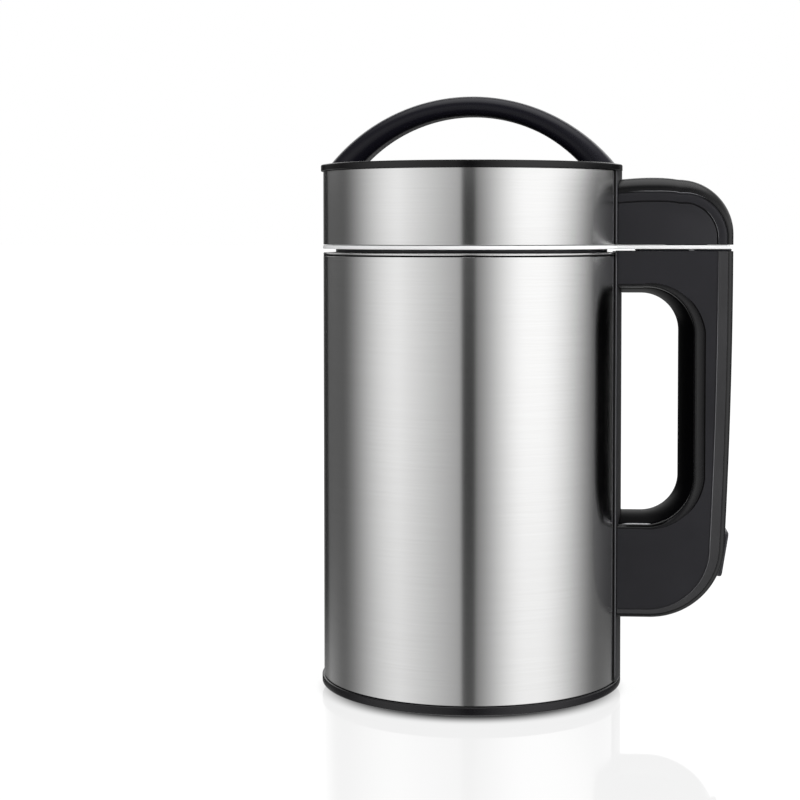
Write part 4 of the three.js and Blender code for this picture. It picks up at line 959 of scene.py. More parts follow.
def side_lip(place):
    return mixed(SIDE_LIP, BOTTOM_LIP, place[2])


def cap_lip(place):
    return mixed(SIDE_LIP, CAP_LIP, place[2])


def handle_round(place):
    return mixed(SIDE_ROUND, BOTTOM_ROUND, place[2])


def cap_round(place):
    return mixed(SIDE_ROUND, CROWN_ROUND, place[2])


def bulge(place):
    """How far the gap's lining falls back towards the handle's sides: most along its upright runs."""
    return mixed(SIDE_BULGE, TOP_BULGE if place[0].y > GAP_MIDDLE else LOW_BULGE, place[2])


def roll(place):
    return mixed(SIDE_ROLL, END_ROLL, place[2])


def round_back(corner, depth):
    """Half the section of a rounded back at a depth under its face, as (distance from the edge, Y)."""
    steps = 9
    turns = [k / steps * math.pi / 2 for k in range(steps + 1)]
    radius, middle = corner - depth, HALF_WIDTH - corner
    return [(corner - radius * math.cos(turn), middle + radius * math.sin(turn)) for turn in turns]


def back_skin(corner):
    """Section of the polished skin that wraps a rounded back from one side to the other."""
    outer, inner = round_back(corner, 0), round_back(corner, SKIN)
    return (outer[::-1] + [(distance, -y) for distance, y in outer]
            + [(distance, -y) for distance, y in inner[::-1]] + inner)


# How a back's side starts beside its skin and ends at its lip: distances along, depths under the side
PLAIN_START = [(0, 1), (0, 0.08), (0.1, 0)]
PARTED_START = [(0.35, 1), (0.35, 0.4), (0.75, 0.4), (0.85, 0.2), (1.0, 0.05), (1.2, 0)]
LIP_END = [(0.45, 0), (0.2, 0.06), (0.06, 0.2), (0, 0.45), (0, SIDE_WALL)]


def channel(corner, lip, side_start):
    """Section of the two side lips and the web between them, under the skin."""
    half = round_back(corner, SKIN + LAP)
    half += [(corner + LAP + along, HALF_WIDTH - depth) for along, depth in side_start]
    half += [(lip - along, HALF_WIDTH - depth) for along, depth in LIP_END]
    half += [(corner + GROOVE, HALF_WIDTH - SIDE_WALL),
             (SPINE_WALL, HALF_WIDTH - max(corner, SIDE_WALL) - GROOVE)]
    return half + [(distance, -y) for distance, y in half[::-1]]


# The handle and the cap over it
def off_the_shell(thing):
    """Cuts a piece back to the round face of the strip that it stands on."""
    return cut_away(thing, prism(circle(HANDLE_START, steps=256), UNDER_ALL, OVER_ALL))


def upright(outline, x0, x1):
    """A flat outline of (y, z) run along X."""
    return tube([[(x0, y, z) for y, z in outline], [(x1, y, z) for y, z in outline]])


INLET_HALF_WIDTH, INLET_HALF_HEIGHT = 13.3, 9.6
INLET_BACK = -24


def at_inlet(outline, x0, x1):
    """An outline of (y, z) run along X, then leant and placed on the handle's back, as the inlet is."""
    lean, rise, proud = 0.16, 77, 0.8
    place = Matrix.Translation((CORNER_REACH + proud, 0, rise)) @ Matrix.Rotation(lean, 4, "Y")
    return turned_by(upright(outline, x0, x1), place)


def half_box(half_x, half_y, radius):
    return box_outline(-half_x, half_x, -half_y, half_y, radius)


def inlet_hole(radius):
    outline = half_box(INLET_HALF_WIDTH + FIT, INLET_HALF_HEIGHT + FIT, radius)
    return at_inlet(outline, INLET_BACK, 3 * OVERRUN)


def cover_screw_places():
    return [Span(f"handle_screw_{end}").middle() for end in ("upper", "lower")]


def handle():
    edge = handle_edge()
    spine = mesh_object("handle_back", swept(
        edge, lambda p: channel(handle_round(p), side_lip(p), PLAIN_START)))
    skin = mesh_object("handle_skin", swept(edge, lambda p: back_skin(handle_round(p))))
    for piece in (spine, skin):
        cut_away(piece, inlet_hole(1.5))
    # The back takes the lighter, painted-light copy of the black plastic; its skin takes the polished black
    dress(off_the_shell(spine), "lip", "cup", "black_plastic", "handle_spine")
    dress(off_the_shell(skin), "crown", "cup", "black_plastic", "handle_spine")

    tongue_reach, floor_top, floor_bottom, screw_hole = 3, 0.45, 2, 3.1
    for name, side in (("front", -1), ("back", 1)):
        node = f"handle_cover_{name}"
        cover = walled(mesh_object(f"handle_side_{name}", cover_skin(side), closed=False), side)
        rolled = walled(mesh_object(f"handle_side_{name}_roll", roll_skin(side), closed=False), side)
        # The roll is darker than the cover: painted shade inside the finger gap, on a glossy finish
        dress(off_the_shell(rolled), "roll", "cup", "black_gloss", node)

        def ledge(start, end, top, bottom):
            """A band under the cover, from start to end past the lip."""
            corners = (start, top), (end, top), (end, bottom), (start, bottom)
            return swept(edge, lambda p: [
                (side_lip(p) + past, side * (HALF_WIDTH - depth)) for past, depth in corners])

        ledges = (ledge(-TONGUE, tongue_reach, TONGUE_TOP, TONGUE_BOTTOM),
                  ledge(-FIT, GROOVE + FIT, floor_top, floor_bottom))
        off_the_shell(cover)
        if side > 0:
            low, high = HALF_WIDTH - OVERRUN, HALF_WIDTH + OVERRUN
            cut_away(cover, *[along_y(prism(circle(screw_hole, x, z), low, high))
                              for x, _, z in cover_screw_places()])
        merged(cover, *[off_the_shell(mesh_object("ledge", shape)) for shape in ledges])
        dress(cover, "satin", "cup", "black_plastic", node)

    steps, lining_round = 24, 0.35

    def lining(place):
        across = [k / steps * 2 - 1 for k in range(steps + 1)]
        face = [(-bulge(place) * share ** 2, GRIP.back * share) for share in across]
        return face + [(distance - GRIP_WALL, y) for distance, y in face[::-1]]

    insert = bevelled(mesh_object("grip_lining", swept(gap_edge(), lining)), lining_round, 2, 60)
    dress(off_the_shell(insert), "lining", "cup", "black_gloss", "grip_insert")


def handle_screws():
    """The cover's screws with their heads in its holes, and the screws that hold the strip to the shell."""
    head_face, strip_head = 20.7, 3.5
    upper = Span("handle_screw_upper")
    screws("handle_screws", ["handle_screw_upper", "handle_screw_lower"],
           [(x, head_face, z) for x, _, z in cover_screw_places()], (0, 1, 0), 2.8, 1, 3, 1.5,
           head_face - upper.front)
    nodes = ["flange_screw_upper", "flange_screw_lower"]
    screws("strip_screws", nodes, [(HANDLE_START, 0, Span(node).middle()[2]) for node in nodes], (1, 0, 0),
           strip_head, 2.4, 3.4, 1.8, HANDLE_START - Span(nodes[0]).left)


# Level marks are real raised lines; every other bead paints light or shade: painted highlights in light
# plastic, painted shade lines in black
def bead(name, points, radius, taper, body, finish="painted_highlight"):
    lines = [(i, i + 1) for i in range(len(points) - 1)]
    line = BEADS.run(name, points, lines, radius=radius, taper=taper, finish=finish)
    dress(line, finish, body, "black_plastic")


def parting_beads():
    """Thin beads that paint light and shade where the cap's and the handle's pieces meet: painted highlights
    on edges and painted shade lines round the finger gap.
    """
    crown_start, corner_end, back_end = 0.55, 0.5, 0.95
    lining_x, glint_x, low_line_x = 98, 83, 105
    under, past, glint_depth = 0.02, 0.1, 3.1
    cap_run = [p for p in cap_edge() if p[0].x > HANDLE_START]
    gap = gap_edge()
    low_gap = [p for p in gap if p[0].y < GAP_MIDDLE and p[0].x > glint_x]
    runs = [
        # Painted highlights along the cap's crown, the cap's corner and the handle's lip
        ("cap_crown_highlight", [p for p in cap_run if p[2] > crown_start],
         lambda p: cap_round(p) - 0.15, under, 0.2, 0.25, "head", "painted_highlight"),
        ("cap_corner_highlight", [p for p in cap_run if p[2] < corner_end],
         lambda p: cap_lip(p) - past, under, 0.12, 0.3, "head", "painted_highlight"),
        ("handle_lip_highlight", [p for p in handle_edge() if p[2] < back_end],
         lambda p: side_lip(p) - past, under, 0.14, 0.25, "cup", "painted_highlight"),
        # Painted shade lines round the finger gap
        ("gap_shade_line", [p for p in gap if p[0].x > lining_x],
         lambda p: -bulge(p) - roll(p) - 0.2, 0.25, 0.45, 0.2, "cup", "shadow"),
        # Painted highlight on the lower edge of the lining
        ("gap_glint", [p for p in low_gap if p[0].x < lining_x],
         lambda p: -bulge(p) - 0.2, glint_depth, 0.45, 0.12, "cup", "glint"),
        ("gap_low_shade_line", [p for p in low_gap if p[0].x < low_line_x],
         lambda p: -bulge(p) - 1.1, 0.9, 0.6, 0.12, "cup", "shadow"),
    ]
    angle, reach = STRIP_HALF_ANGLE - 0.15 / STRIP.right, STRIP.right - 0.12
    for side in (-1, 1):
        for name, places, distance, depth, radius, taper, body, finish in runs:
            points = [off(p, distance(p)) for p in places]
            bead(name, [(q.x, side * (HALF_WIDTH - depth), q.y) for q in points], radius, taper, body, finish)
        # Painted highlights along the front edges of the strips under the handle and the cap
        x, y = reach * math.cos(angle), side * reach * math.sin(angle)
        bead("handle_strip_highlight", [(x, y, z) for z in (10, 12, 238, 240)], 0.16, 0.01, "cup")
        bead("cap_strip_highlight", [(x, y, z) for z in (247, 248, 284, 285)], 0.14, 0.02, "head")


def edge_outline(edge, lip, beyond, end):
    """The outline of a side cover: the edge moved in past its lip, closed at the shell."""
    moved_in = [off(p, lip(p) + beyond) for p in edge]
    return [(place.x, place.y) for place in moved_in] + [(INSIDE_X, end)]


def slab(outline, side, near, far):
    """A flat outline of (x, z) between two depths under the handle's side face."""
    low, high = sorted((side * (HALF_WIDTH - near), side * (HALF_WIDTH - far)))
    return along_y(prism(outline, low, high))


def roll_skin(side):
    """The polished roll of a handle cover round the finger gap."""
    steps = 10
    strip = []
    for p in gap_edge():
        start, end = bulge(p) + FIT, bulge(p) + roll(p)
        section = []
        for k in range(steps + 1):
            turn = k / steps * math.pi / 2
            section.append((-mixed(end, start, math.cos(turn)),
                            side * mixed(HALF_WIDTH - ROLL_DEPTH, HALF_WIDTH, math.sin(turn))))
        strip.append(ring_at(p, section))
    return tube(strip, closed=False, capped=False)


def cover_skin(side):
    """The flat outer face of a handle cover, from the roll round the finger gap to the lips of the back."""
    flat = 1.0
    strip = []
    for p in gap_edge():
        end = bulge(p) + roll(p)
        strip.append(ring_at(p, [(-end, side * HALF_WIDTH), (-end - flat, side * HALF_WIDTH)]))
    points, faces = tube(strip, closed=False, capped=False)
    size = len(strip[0])
    inner = [i * size + size - 1 for i in range(len(strip))]
    rim = [off(p, side_lip(p) + GROOVE) for p in handle_edge()]
    rim = [(place.x, place.y) for place in rim if place.y <= SPINE.top] + [(INSIDE_X, SPINE.top)]
    first = len(points)
    points += [(x, side * HALF_WIDTH, z) for x, z in rim]
    faces.append(list(range(first, len(points) - 1)) + inner[::-1] + [len(points) - 1])
    return points, faces


def walled(thing, side):
    """Gives an open skin that looks towards side on the Y axis the thickness of a moulded wall."""
    facing(thing, side)
    wall = thing.modifiers.new("wall", "SOLIDIFY")
    wall.thickness = COVER_WALL * MM
    wall.offset = -1
    wall.use_even_offset = True
    return applied(thing)


def facing(thing, side):
    """Makes an open skin's faces look towards side on the Y axis, after making them agree with each other."""
    with editing(thing.data) as work:
        bmesh.ops.recalc_face_normals(work, faces=work.faces)
        widest = max(work.faces, key=lambda face: face.calc_area())
        if widest.normal.y * side < 0:
            bmesh.ops.reverse_faces(work, faces=work.faces)


def cap():
    edge, panel_round = cap_edge(), 0.4
    back = mesh_object("cap_back", swept(edge, lambda p: channel(cap_round(p), cap_lip(p), PARTED_START)))
    dress(off_the_shell(back), "satin", "head", "black_plastic", "cap_frame")
    skin = mesh_object("cap_skin", swept(edge, lambda p: back_skin(cap_round(p))))
    dress(off_the_shell(skin), "crown", "head", "black_plastic", "cap_frame")
    outline, tongue = (edge_outline(edge, cap_lip, beyond, RING.bottom) for beyond in (GROOVE, -TONGUE))
    for name, side in (("front", -1), ("back", 1)):
        panel = mesh_object(f"cap_side_{name}", slab(outline, side, 0, SIDE_WALL))
        bevelled(panel, panel_round, 3, 40)
        merged(panel, mesh_object("tongue", slab(tongue, side, TONGUE_TOP, TONGUE_BOTTOM)))
        dress(off_the_shell(panel), "satin", "head", "black_plastic", f"cap_cover_{name}")


def inlet():
    """The power inlet: a bezel on the handle's back, and a housing with a well and three blades in it."""
    back = [off(p, -FIT) for p in handle_edge()]
    body = along_y(prism([(p.x, p.y) for p in back] + [(INSIDE_X, SPINE.top)], -HALF_WIDTH, HALF_WIDTH))
    half_width, half_height, depth, corner, edge_round = 16, 12.5, 8, 3, 1.1
    bezel = mesh_object("inlet_frame", at_inlet(half_box(half_width, half_height, corner), -depth, 0))
    bevelled(bezel, edge_round, 4, 50)
    cut_away(bezel, body, inlet_hole(1.2))
    dress(bezel, "satin", "cup", "black_plastic", "inlet_bezel")

    housing_depth, well_depth, set_back, well_round = 20, 15.5, 0.5, 1
    wide, narrow, low, shoulder, high = 11.5, 7.6, -7.8, 3.6, 7.8
    housing = mesh_object("inlet_body", at_inlet(half_box(INLET_HALF_WIDTH, INLET_HALF_HEIGHT, 1.4),
                                                 -housing_depth, -set_back))
    bevelled(housing, 0.4, 2, 60)
    well = rounded([(x, z, well_round) for x, z in (
        (-wide, low), (wide, low), (wide, shoulder), (narrow, high), (-narrow, high), (-wide, shoulder))])
    cut_away(housing, at_inlet(well, -well_depth, OVERRUN))
    dress(housing, "gloss", "cup", "black_gloss", "power_inlet")
    spacing, offset, half_thickness, blade_half, blade_foot, blade_tip = 7, 2.5, 1, 2, -16, -4.5
    for i, (y, z) in enumerate(((-spacing, -offset), (0, offset), (spacing, -offset))):
        outline = box_outline(y - half_thickness, y + half_thickness, z - blade_half, z + blade_half, 0.5)
        blade = mesh_object(f"inlet_blade_{i + 1}", at_inlet(outline, blade_foot, blade_tip))
        dress(bevelled(blade, 0.5, 3, 60), "plain_steel", "cup", "plain_steel")


COUPLER_X = HANDLE_REACH - 24.3
COUPLER_HALF = 11


def coupler_box(grow, radius):
    half = COUPLER_HALF + grow
    return box_outline(COUPLER_X - half, COUPLER_X + half, -half, half, radius)


def coupler():
    """The socket in the handle's top, and the plug with three pins under the cap."""
    pin_side, pin_forward, pin_radius, pin_foot, block_round = 6, 4, 1.4, 0.2, 1.5
    plate_bottom, block_top, hole_top = SOCKET.top - 2.2, SOCKET.top - 1.1, 245
    outer, inner = COUPLER_X + pin_forward, COUPLER_X - pin_forward
    pins = [(outer, -pin_side), (outer, pin_side), (inner, 0)]
    plate = mesh_object("coupler_seat", prism(box_outline(
        INSIDE_X, SOCKET.right, SOCKET.front, SOCKET.back, 1), plate_bottom, SOCKET.top))
    block = mesh_object("coupler_block", prism(coupler_box(0, block_round), SOCKET.bottom, block_top))
    holes = [prism(circle(pin_radius + FIT, x, y, COARSE), PLUG.bottom - FIT, hole_top) for x, y in pins]
    cut_away(plate, *holes)
    cut_away(block, *holes)
    dress(merged(off_the_shell(plate), block), "satin", "cup", "black_plastic", "coupler_socket")

    apron_in, apron_bottom, apron_top, plug_bottom, pin_top = 91, 242.6, 243.75, 242.8, 243
    body = mesh_object("coupler_head", prism(coupler_box(0, block_round), plug_bottom, PLUG.top))
    apron = mesh_object("coupler_apron", prism(box_outline(
        apron_in, PLUG.right, PLUG.front, PLUG.back, 2), apron_bottom, apron_top))
    bevelled(apron, 0.15)
    dress(merged(body, apron), "satin", "head", "black_plastic", "coupler_plug")
    pin_shape = lathe(rounded([(0, PLUG.bottom), (pin_radius, PLUG.bottom, 0.9),
                               (pin_radius, pin_top, pin_foot), (0, pin_top)]), COARSE)
    for i, (x, y) in enumerate(pins):
        pin = moved(mesh_object(f"coupler_pin_{i + 1}", pin_shape), x, y)
        dress(pin, "plain_steel", "head", "plain_steel")
    tab_start, tab_end, tab_out, tab_in, tab_bottom, tab_top = 118.3, 121.2, -21.2, -19.9, 242.65, 243.6
    tab = mesh_object("coupler_tab", prism(box_outline(
        tab_start, tab_end, tab_out, tab_in, 0.4), tab_bottom, tab_top))
    dress(bevelled(tab, CRISP), "grey", "head", "black_plastic")


# The head
COLLAR_R = 75


def trim():
    """The pale plate under the head and its cap: round, with a straight-sided foot under the cap."""
    half, radius, corner, edge_round = HALF_WIDTH + FIT, -TRIM.left, 3, 0.5
    start = math.asin(half / radius)
    foot_start, steps = 90, 160
    outline = []
    for k in range(steps + 1):
        turn = start + (2 * math.pi - 2 * start) * k / steps
        outline.append((radius * math.cos(turn), radius * math.sin(turn)))
    outline += rounded([(foot_start, -half), (TRIM.right, -half, corner), (TRIM.right, half, corner),
                        (foot_start, half)], 8)
    plate = mesh_object("seam_trim", prism(outline, TRIM.bottom, TRIM.top))
    bevelled(plate, edge_round, 3, 40)
    low, high = TRIM.bottom - OVERRUN, TRIM.top + OVERRUN
    cut_away(plate, prism(circle(COLLAR_R + FIT, steps=ROUND), low, high),
             prism(coupler_box(FIT, 1.5), low, high))
    dress(plate, "white", "head", "pale_trim", "trim_plate")


def head():
    """The head's base, its steel ring, its lid and the panel that the buttons stand in."""
    base_box = Span("head_base")
    wall, inner, seat_top, wall_top = 2, 68.5, base_box.bottom + 7.3, base_box.top + FIT
    screw_radius, screw_reach, first_screw, screw_depth, below = 2.6, 71.8, 0.785, 2.4, 5
    carrier = mesh_object("head_floor", lathe(rounded([
        (inner, base_box.bottom, 0.4), (COLLAR_R, base_box.bottom, SOFT), (COLLAR_R, RING.bottom),
        (FIT_R, RING.bottom, EDGE), (FIT_R, wall_top, EDGE), (FIT_R - wall, wall_top, EDGE),
        (FIT_R - wall, seat_top, EDGE), (inner, seat_top, EDGE),
    ])))
    low, high = base_box.bottom - below, base_box.bottom + screw_depth
    cut_away(carrier, *[prism(circle(screw_radius, x, y, COARSE), low, high)
                        for x, y in around(4, first_screw, screw_reach)])
    dress(carrier, "satin", "head", "black_plastic", "head_base")

    ring = turned("head_band", rounded([
        (SHELL_IN, RING.bottom, CRISP), (BODY_R, RING.bottom, EDGE), (BODY_R, RING.top, EDGE),
        (SHELL_IN, RING.top, CRISP)]))
    dress(ring, "brushed", "head", "brushed_steel", "head_ring")

    under, wall_in, wall_bottom, rim_bottom = LID.top - 2.8, FIT_R - 2.3, 276.2, RING.top + FIT
    dip, dip_out, dip_in, rise_out, rise_in, edge_round, rim_round = 0.5, 79, 76, 79.5, 75.4, 0.4, 0.7
    lid = mesh_object("lid", lathe(rounded([
        (0, under), (wall_in, under, EDGE), (wall_in, wall_bottom, EDGE), (FIT_R, wall_bottom, EDGE),
        (FIT_R, rim_bottom), (LID.right, rim_bottom, edge_round), (LID.right, LID.top, rim_round),
        (rise_out, LID.top, edge_round), (dip_out, LID.top - dip, EDGE), (dip_in, LID.top - dip, edge_round),
        (rise_in, LID.top, edge_round), (0, LID.top),
    ], 6)))
    hole_bottom, hole_top, recess_top = 280, 295, 294
    holes = [prism(circle(BUTTON_HOLE, x, BUTTON_Y), hole_bottom, hole_top) for x in BUTTON_X]
    plate, corner = Span("control_panel"), 6
    recess = box_outline(plate.left - FIT, plate.right + FIT, plate.front - FIT, plate.back + FIT, corner)
    cut_away(lid, prism(recess, plate.bottom - FIT, recess_top), *holes)
    dress(lid, "rim", "head", "black_plastic", "top_cover")

    outline = box_outline(plate.left, plate.right, plate.front, plate.back, corner)
    panel = mesh_object("button_panel", prism(outline, plate.bottom, plate.top))
    bevelled(panel, 0.25)
    cut_away(panel, *holes)
    dress(panel, "gloss", "head", "black_gloss", "control_panel")


def buttons():
    button = Span("button_2")
    stem, stem_top, skirt, skirt_top, cap_radius, dish_radius, dish_low = 3, 285.2, 8.5, 286.6, 7, 5.2, 289.8
    shape = lathe(rounded([
        (0, button.bottom), (stem, button.bottom, 0.4), (stem, stem_top), (skirt, stem_top, EDGE),
        (skirt, skirt_top, EDGE), (cap_radius, skirt_top), (cap_radius, button.top, 0.7),
        (dish_radius, button.top - 0.15, 1.5), (0, dish_low),
    ]), FINE)
    for i, (x, side) in enumerate(zip(BUTTON_X, ("left", "middle", "right"))):
        piece = moved(mesh_object(f"push_button_{i + 1}", shape), x, BUTTON_Y)
        dress(piece, "grey", f"button_{side}", "button_plastic", f"button_{i + 1}")


def panel_marks():
    """One, two and three raised dots for the buttons, and an indicator lens at the end of the row."""
    row, dot_pitch, dot_radius, dot_height = -43.1, 2.8, 0.75, 0.25
    lens_x, lens_radius, lens_height = 33, 1.2, 0.3
    foot = LID.top - FAINT
    dots = [(x + dot_pitch * (k - i / 2), row, foot) for i, x in enumerate(BUTTON_X) for k in range(i + 1)]
    marks = outward(PINS.run("button_dots", dots, radius=dot_radius, height=dot_height, finish="white"))
    dress(marks, "white", "head", "pale_trim")
    lens = outward(PINS.run("indicator_lens", [(lens_x, row, foot)], radius=lens_radius, height=lens_height,
                            finish="lamp"))
    dress(lens, "lamp", "head", "pale_trim")


def neck_seal():
    """A rubber ring round the neck with two lips."""
    seal = Span("neck_seal")
    inner, groove = seal.right - 2, seal.right - 1
    shape = lathe(rounded([
        (inner, seal.bottom, EDGE), (groove + FAINT, seal.bottom, EDGE), (seal.right, seal.bottom + 1.1, 0.4),
        (groove, seal.bottom + 2.3, EDGE), (seal.right, seal.bottom + 3.7, 0.4),
        (groove + FAINT, seal.top, EDGE), (inner, seal.top, EDGE)]))
    dress(mesh_object("neck_gasket", shape), "silicone", "head", "pale_rubber", "neck_seal")


SHAFT_HOLE = 4.3


def neck():
    """The neck that closes the cup, drawn down to the long column that the shaft runs in."""
    bottom, flange = Span("neck").bottom, Span("neck").right
    wall, column, shoulder, foot, flange_bottom, flange_top = 0.8, 19, 201, 23, 248.6, 249.4
    bend_x, bend_z, bend_radius = 60.2, 213, 8
    piece = mesh_object("head_neck", lathe(
        [(SHAFT_HOLE, bottom)]
        + rounded([(column, bottom, 1.5), (column, shoulder, 3), (foot, shoulder + 4, 3)], 6)
        + arc(bend_x, bend_z, bend_radius, -90, 0)
        + [(bend_x + bend_radius, flange_bottom), (flange, flange_bottom), (flange, flange_top),
           (bend_x + bend_radius - wall, flange_top)]
        + arc(bend_x, bend_z, bend_radius - wall, 0, -90)
        + [(foot, shoulder + 4 + wall), (column - wall, shoulder), (column - wall, bottom + wall),
           (SHAFT_HOLE, bottom + wall)]))
    dress(piece, "polished", "head", "polished_steel", "neck")

    seal = Span("shaft_seal")
    shape = lathe(rounded([(SHAFT_HOLE, seal.bottom, EDGE), (seal.right, seal.bottom, EDGE),
                           (seal.right, seal.top, SOFT), (SHAFT_HOLE, seal.top, SOFT)]), FINE)
    dress(mesh_object("shaft_gasket", shape), "rubber", "head", "dark_rubber", "shaft_seal")


def blade_guard():
    """A hood over the blade, clamped round the column, with slots that let the beans through."""
    guard, wall, roof, shoulder_round, collar_in, collar_wall = Span("blade_guard"), 1, 100, 2, 19.3, 1.5
    collar, inner = collar_in + collar_wall, guard.right - wall
    hood = mesh_object("blade_shroud", lathe(rounded([
        (collar_in, roof), (inner, roof, shoulder_round), (inner, guard.bottom, EDGE),
        (guard.right, guard.bottom, EDGE), (guard.right, roof + wall, shoulder_round + wall),
        (collar, roof + wall, 1), (collar, guard.top, 0.4), (collar_in, guard.top, 0.4),
    ], 6)))
    count, width, height, depth, rise = 8, 9, 24, 8, 78
    half_pitch = Matrix.Rotation(math.pi / count, 4, "Z")
    hood.data.transform(half_pitch)
    SLOTS.applied_to(hood, count=count, width=width, height=height, reach=guard.right - 0.4,
                     depth=depth, rise=rise, finish="polished")
    hood.data.transform(half_pitch.inverted())
    dress(hood, "polished", "head", "polished_steel", "blade_guard")


def probes():
    """Two steel probes that hang from the neck, each held by a nut."""
    reach, angle, nut_radius, nut_height, nut_clear = 48, 2.6, 6, 3, 5
    for name, side, radius in (("temperature_probe", 1, 3), ("level_probe", -1, 2.5)):
        rod = Span(name)
        outline = rounded([(0, rod.bottom), (radius, rod.bottom, radius * 0.95),
                           (radius, rod.top, EDGE), (0, rod.top)], 8)
        stem = mesh_object(name + "_stem", lathe(outline, 48))
        nut_top = rod.top - nut_clear
        nut = mesh_object("nut", prism(circle(nut_radius, steps=6), nut_top - nut_height, nut_top))
        bevelled(nut, EDGE)
        moved(merged(stem, nut), reach * math.cos(angle), side * reach * math.sin(angle))
        dress(stem, "polished", "head", "polished_steel", name)


# The rotor
def shaft():
    rod, nut = Span("motor_shaft"), Span("blade_nut")
    radius, collar, collar_bottom, collar_top = 4, rod.right, 71.8, 74.8
    shape = lathe(rounded([
        (0, rod.bottom), (radius, rod.bottom, 0.8), (radius, collar_bottom), (collar, collar_bottom, EDGE),
        (collar, collar_top, 0.6), (radius, collar_top), (radius, rod.top, SOFT), (0, rod.top)]), 48)
    dress(mesh_object("drive_shaft", shape), "plain_steel", "rotor", "plain_steel", "motor_shaft")
    hexagon = mesh_object("lock_nut", prism(circle(nut.back, steps=6), nut.bottom, nut.top))
    dress(bevelled(hexagon, SOFT), "polished", "rotor", "polished_steel", "blade_nut")


def blade_arm(rise):
    """Rings along a blade from tip to tip. Both tips lift by rise, and the leading edges are ground."""
    tip, flat, half_width, narrowing, taper_start = Span("blade").right, 13.5, 4.5, 1.6, 19
    bottom, thickness, ground, edge_low, edge_high, steps = 70, 1.5, 1.4, 0.55, 0.75, 40
    rings = []
    for k in range(steps + 1):
        reach = tip * (2 * k / steps - 1)
        share = max(0, (abs(reach) - flat) / flat)
        low = bottom + rise * share * (0.35 + 0.65 * share)
        half = half_width - narrowing * max(0, (abs(reach) - taper_start) / 8)
        edges = []
        for side in (-1, 1):
            leads = (side > 0) == (reach > 0)
            near, far = low + (edge_low if leads else 0), low + (edge_high if leads else thickness)
            edges.append([(side * half, near), (side * half, far)])
        (left_low, left_high), (right_low, right_high) = edges
        inner = half - ground
        outline = [left_low, (-inner, low), (inner, low), right_low, right_high, (inner, low + thickness),
                   (-inner, low + thickness), left_high]
        rings.append([(reach, y, z) for y, z in outline])
    return tube(rings)


def blade():
    """Two arms across each other: one turned up at its tips, one turned down."""
    lift = 7
    first = mesh_object("cutting_blade", blade_arm(lift))
    second = mesh_object("arm", turned_by(blade_arm(-lift), Matrix.Rotation(math.pi / 2, 4, "Z")))
    join = first.modifiers.new("join", "BOOLEAN")
    join.operation, join.solver, join.object = "UNION", "EXACT", second
    applied(first)
    bpy.data.objects.remove(second)
    cut_away(first, prism(circle(SHAFT_HOLE, steps=48), 50, 90))
    dress(first, "polished", "rotor", "polished_steel", "blade", angle=math.radians(25))


# The carry handle
def radius_over(reach, drop):
    """The radius of a circle that reaches as far as this on both sides, this far under its top."""
    return (reach * reach + drop * drop) / (2 * drop)


# Half the arch's section from its underside to its top: shares of its height, and of its half width
ARCH_SECTION = [(0, 0), (0, 0.3), (0, 0.56), (0.02, 0.68), (0.1, 0.86), (0.2, 0.95), (0.34, 1), (0.5, 1),
                (0.66, 0.96), (0.78, 0.87), (0.88, 0.74), (0.95, 0.57), (0.99, 0.36), (1, 0.16)]


def carry_handle():
    """An arch between two circles, thicker at its feet, with a flat glossy underside and a round top."""
    arch = Span("carry_handle")
    outer_reach, inner_reach, half_width, thickness = 79.3, 60.84, 11, 11
    turned_round, count = -0.09, 96
    foot, inner_top = LID.top + FIT, arch.top - thickness
    out_r, in_r = radius_over(outer_reach, arch.top - foot), radius_over(inner_reach, inner_top - foot)
    out_z, in_z = arch.top - out_r, inner_top - in_r
    out_start, in_start = math.asin((foot - out_z) / out_r), math.asin((foot - in_z) / in_r)
    shares = ARCH_SECTION + [(rise, -width) for rise, width in ARCH_SECTION[:0:-1]]
    spin = Matrix.Rotation(turned_round, 4, "Z")
    rings = []
    for k in range(count + 1):
        outer, inner = (mixed(start, math.pi - start, k / count) for start in (out_start, in_start))
        high = Vector((out_r * math.cos(outer), 0, out_z + out_r * math.sin(outer)))
        low = Vector((in_r * math.cos(inner), 0, in_z + in_r * math.sin(inner)))
        ring = []
        for rise, width in shares:
            point = low.lerp(high, rise)
            ring.append(tuple(spin @ Vector((point.x, width * half_width, point.z))))
        rings.append(ring)
    piece = mesh_object("lifting_arch", tube(rings))
    dress(piece, "arch", "head", "black_plastic", "carry_handle", angle=math.radians(60))


def dress_plain_nodes():
    """Finishes for the nodes that keep their own shape."""
    finishes = {
        "plain_steel": ["thermostat", "heating_ring", "bearing_lower", "bearing_upper"],
        "aluminium": ["heat_spreader", "motor_bracket_lower", "motor_bracket_upper"],
        "laminations": ["motor_stator", "armature"],
        "copper": ["field_coil_1", "field_coil_2"],
        "commutator": ["commutator"],
        "satin": ["cooling_fan"],
        "silicone": ["heater_lead", "keypad"],
        "board": ["control_board", "power_board"],
    }
    for finish, names in finishes.items():
        for name in names:
            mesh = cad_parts[name].data
            mesh.materials.clear()
            mesh.materials.append(FINISH[finish])


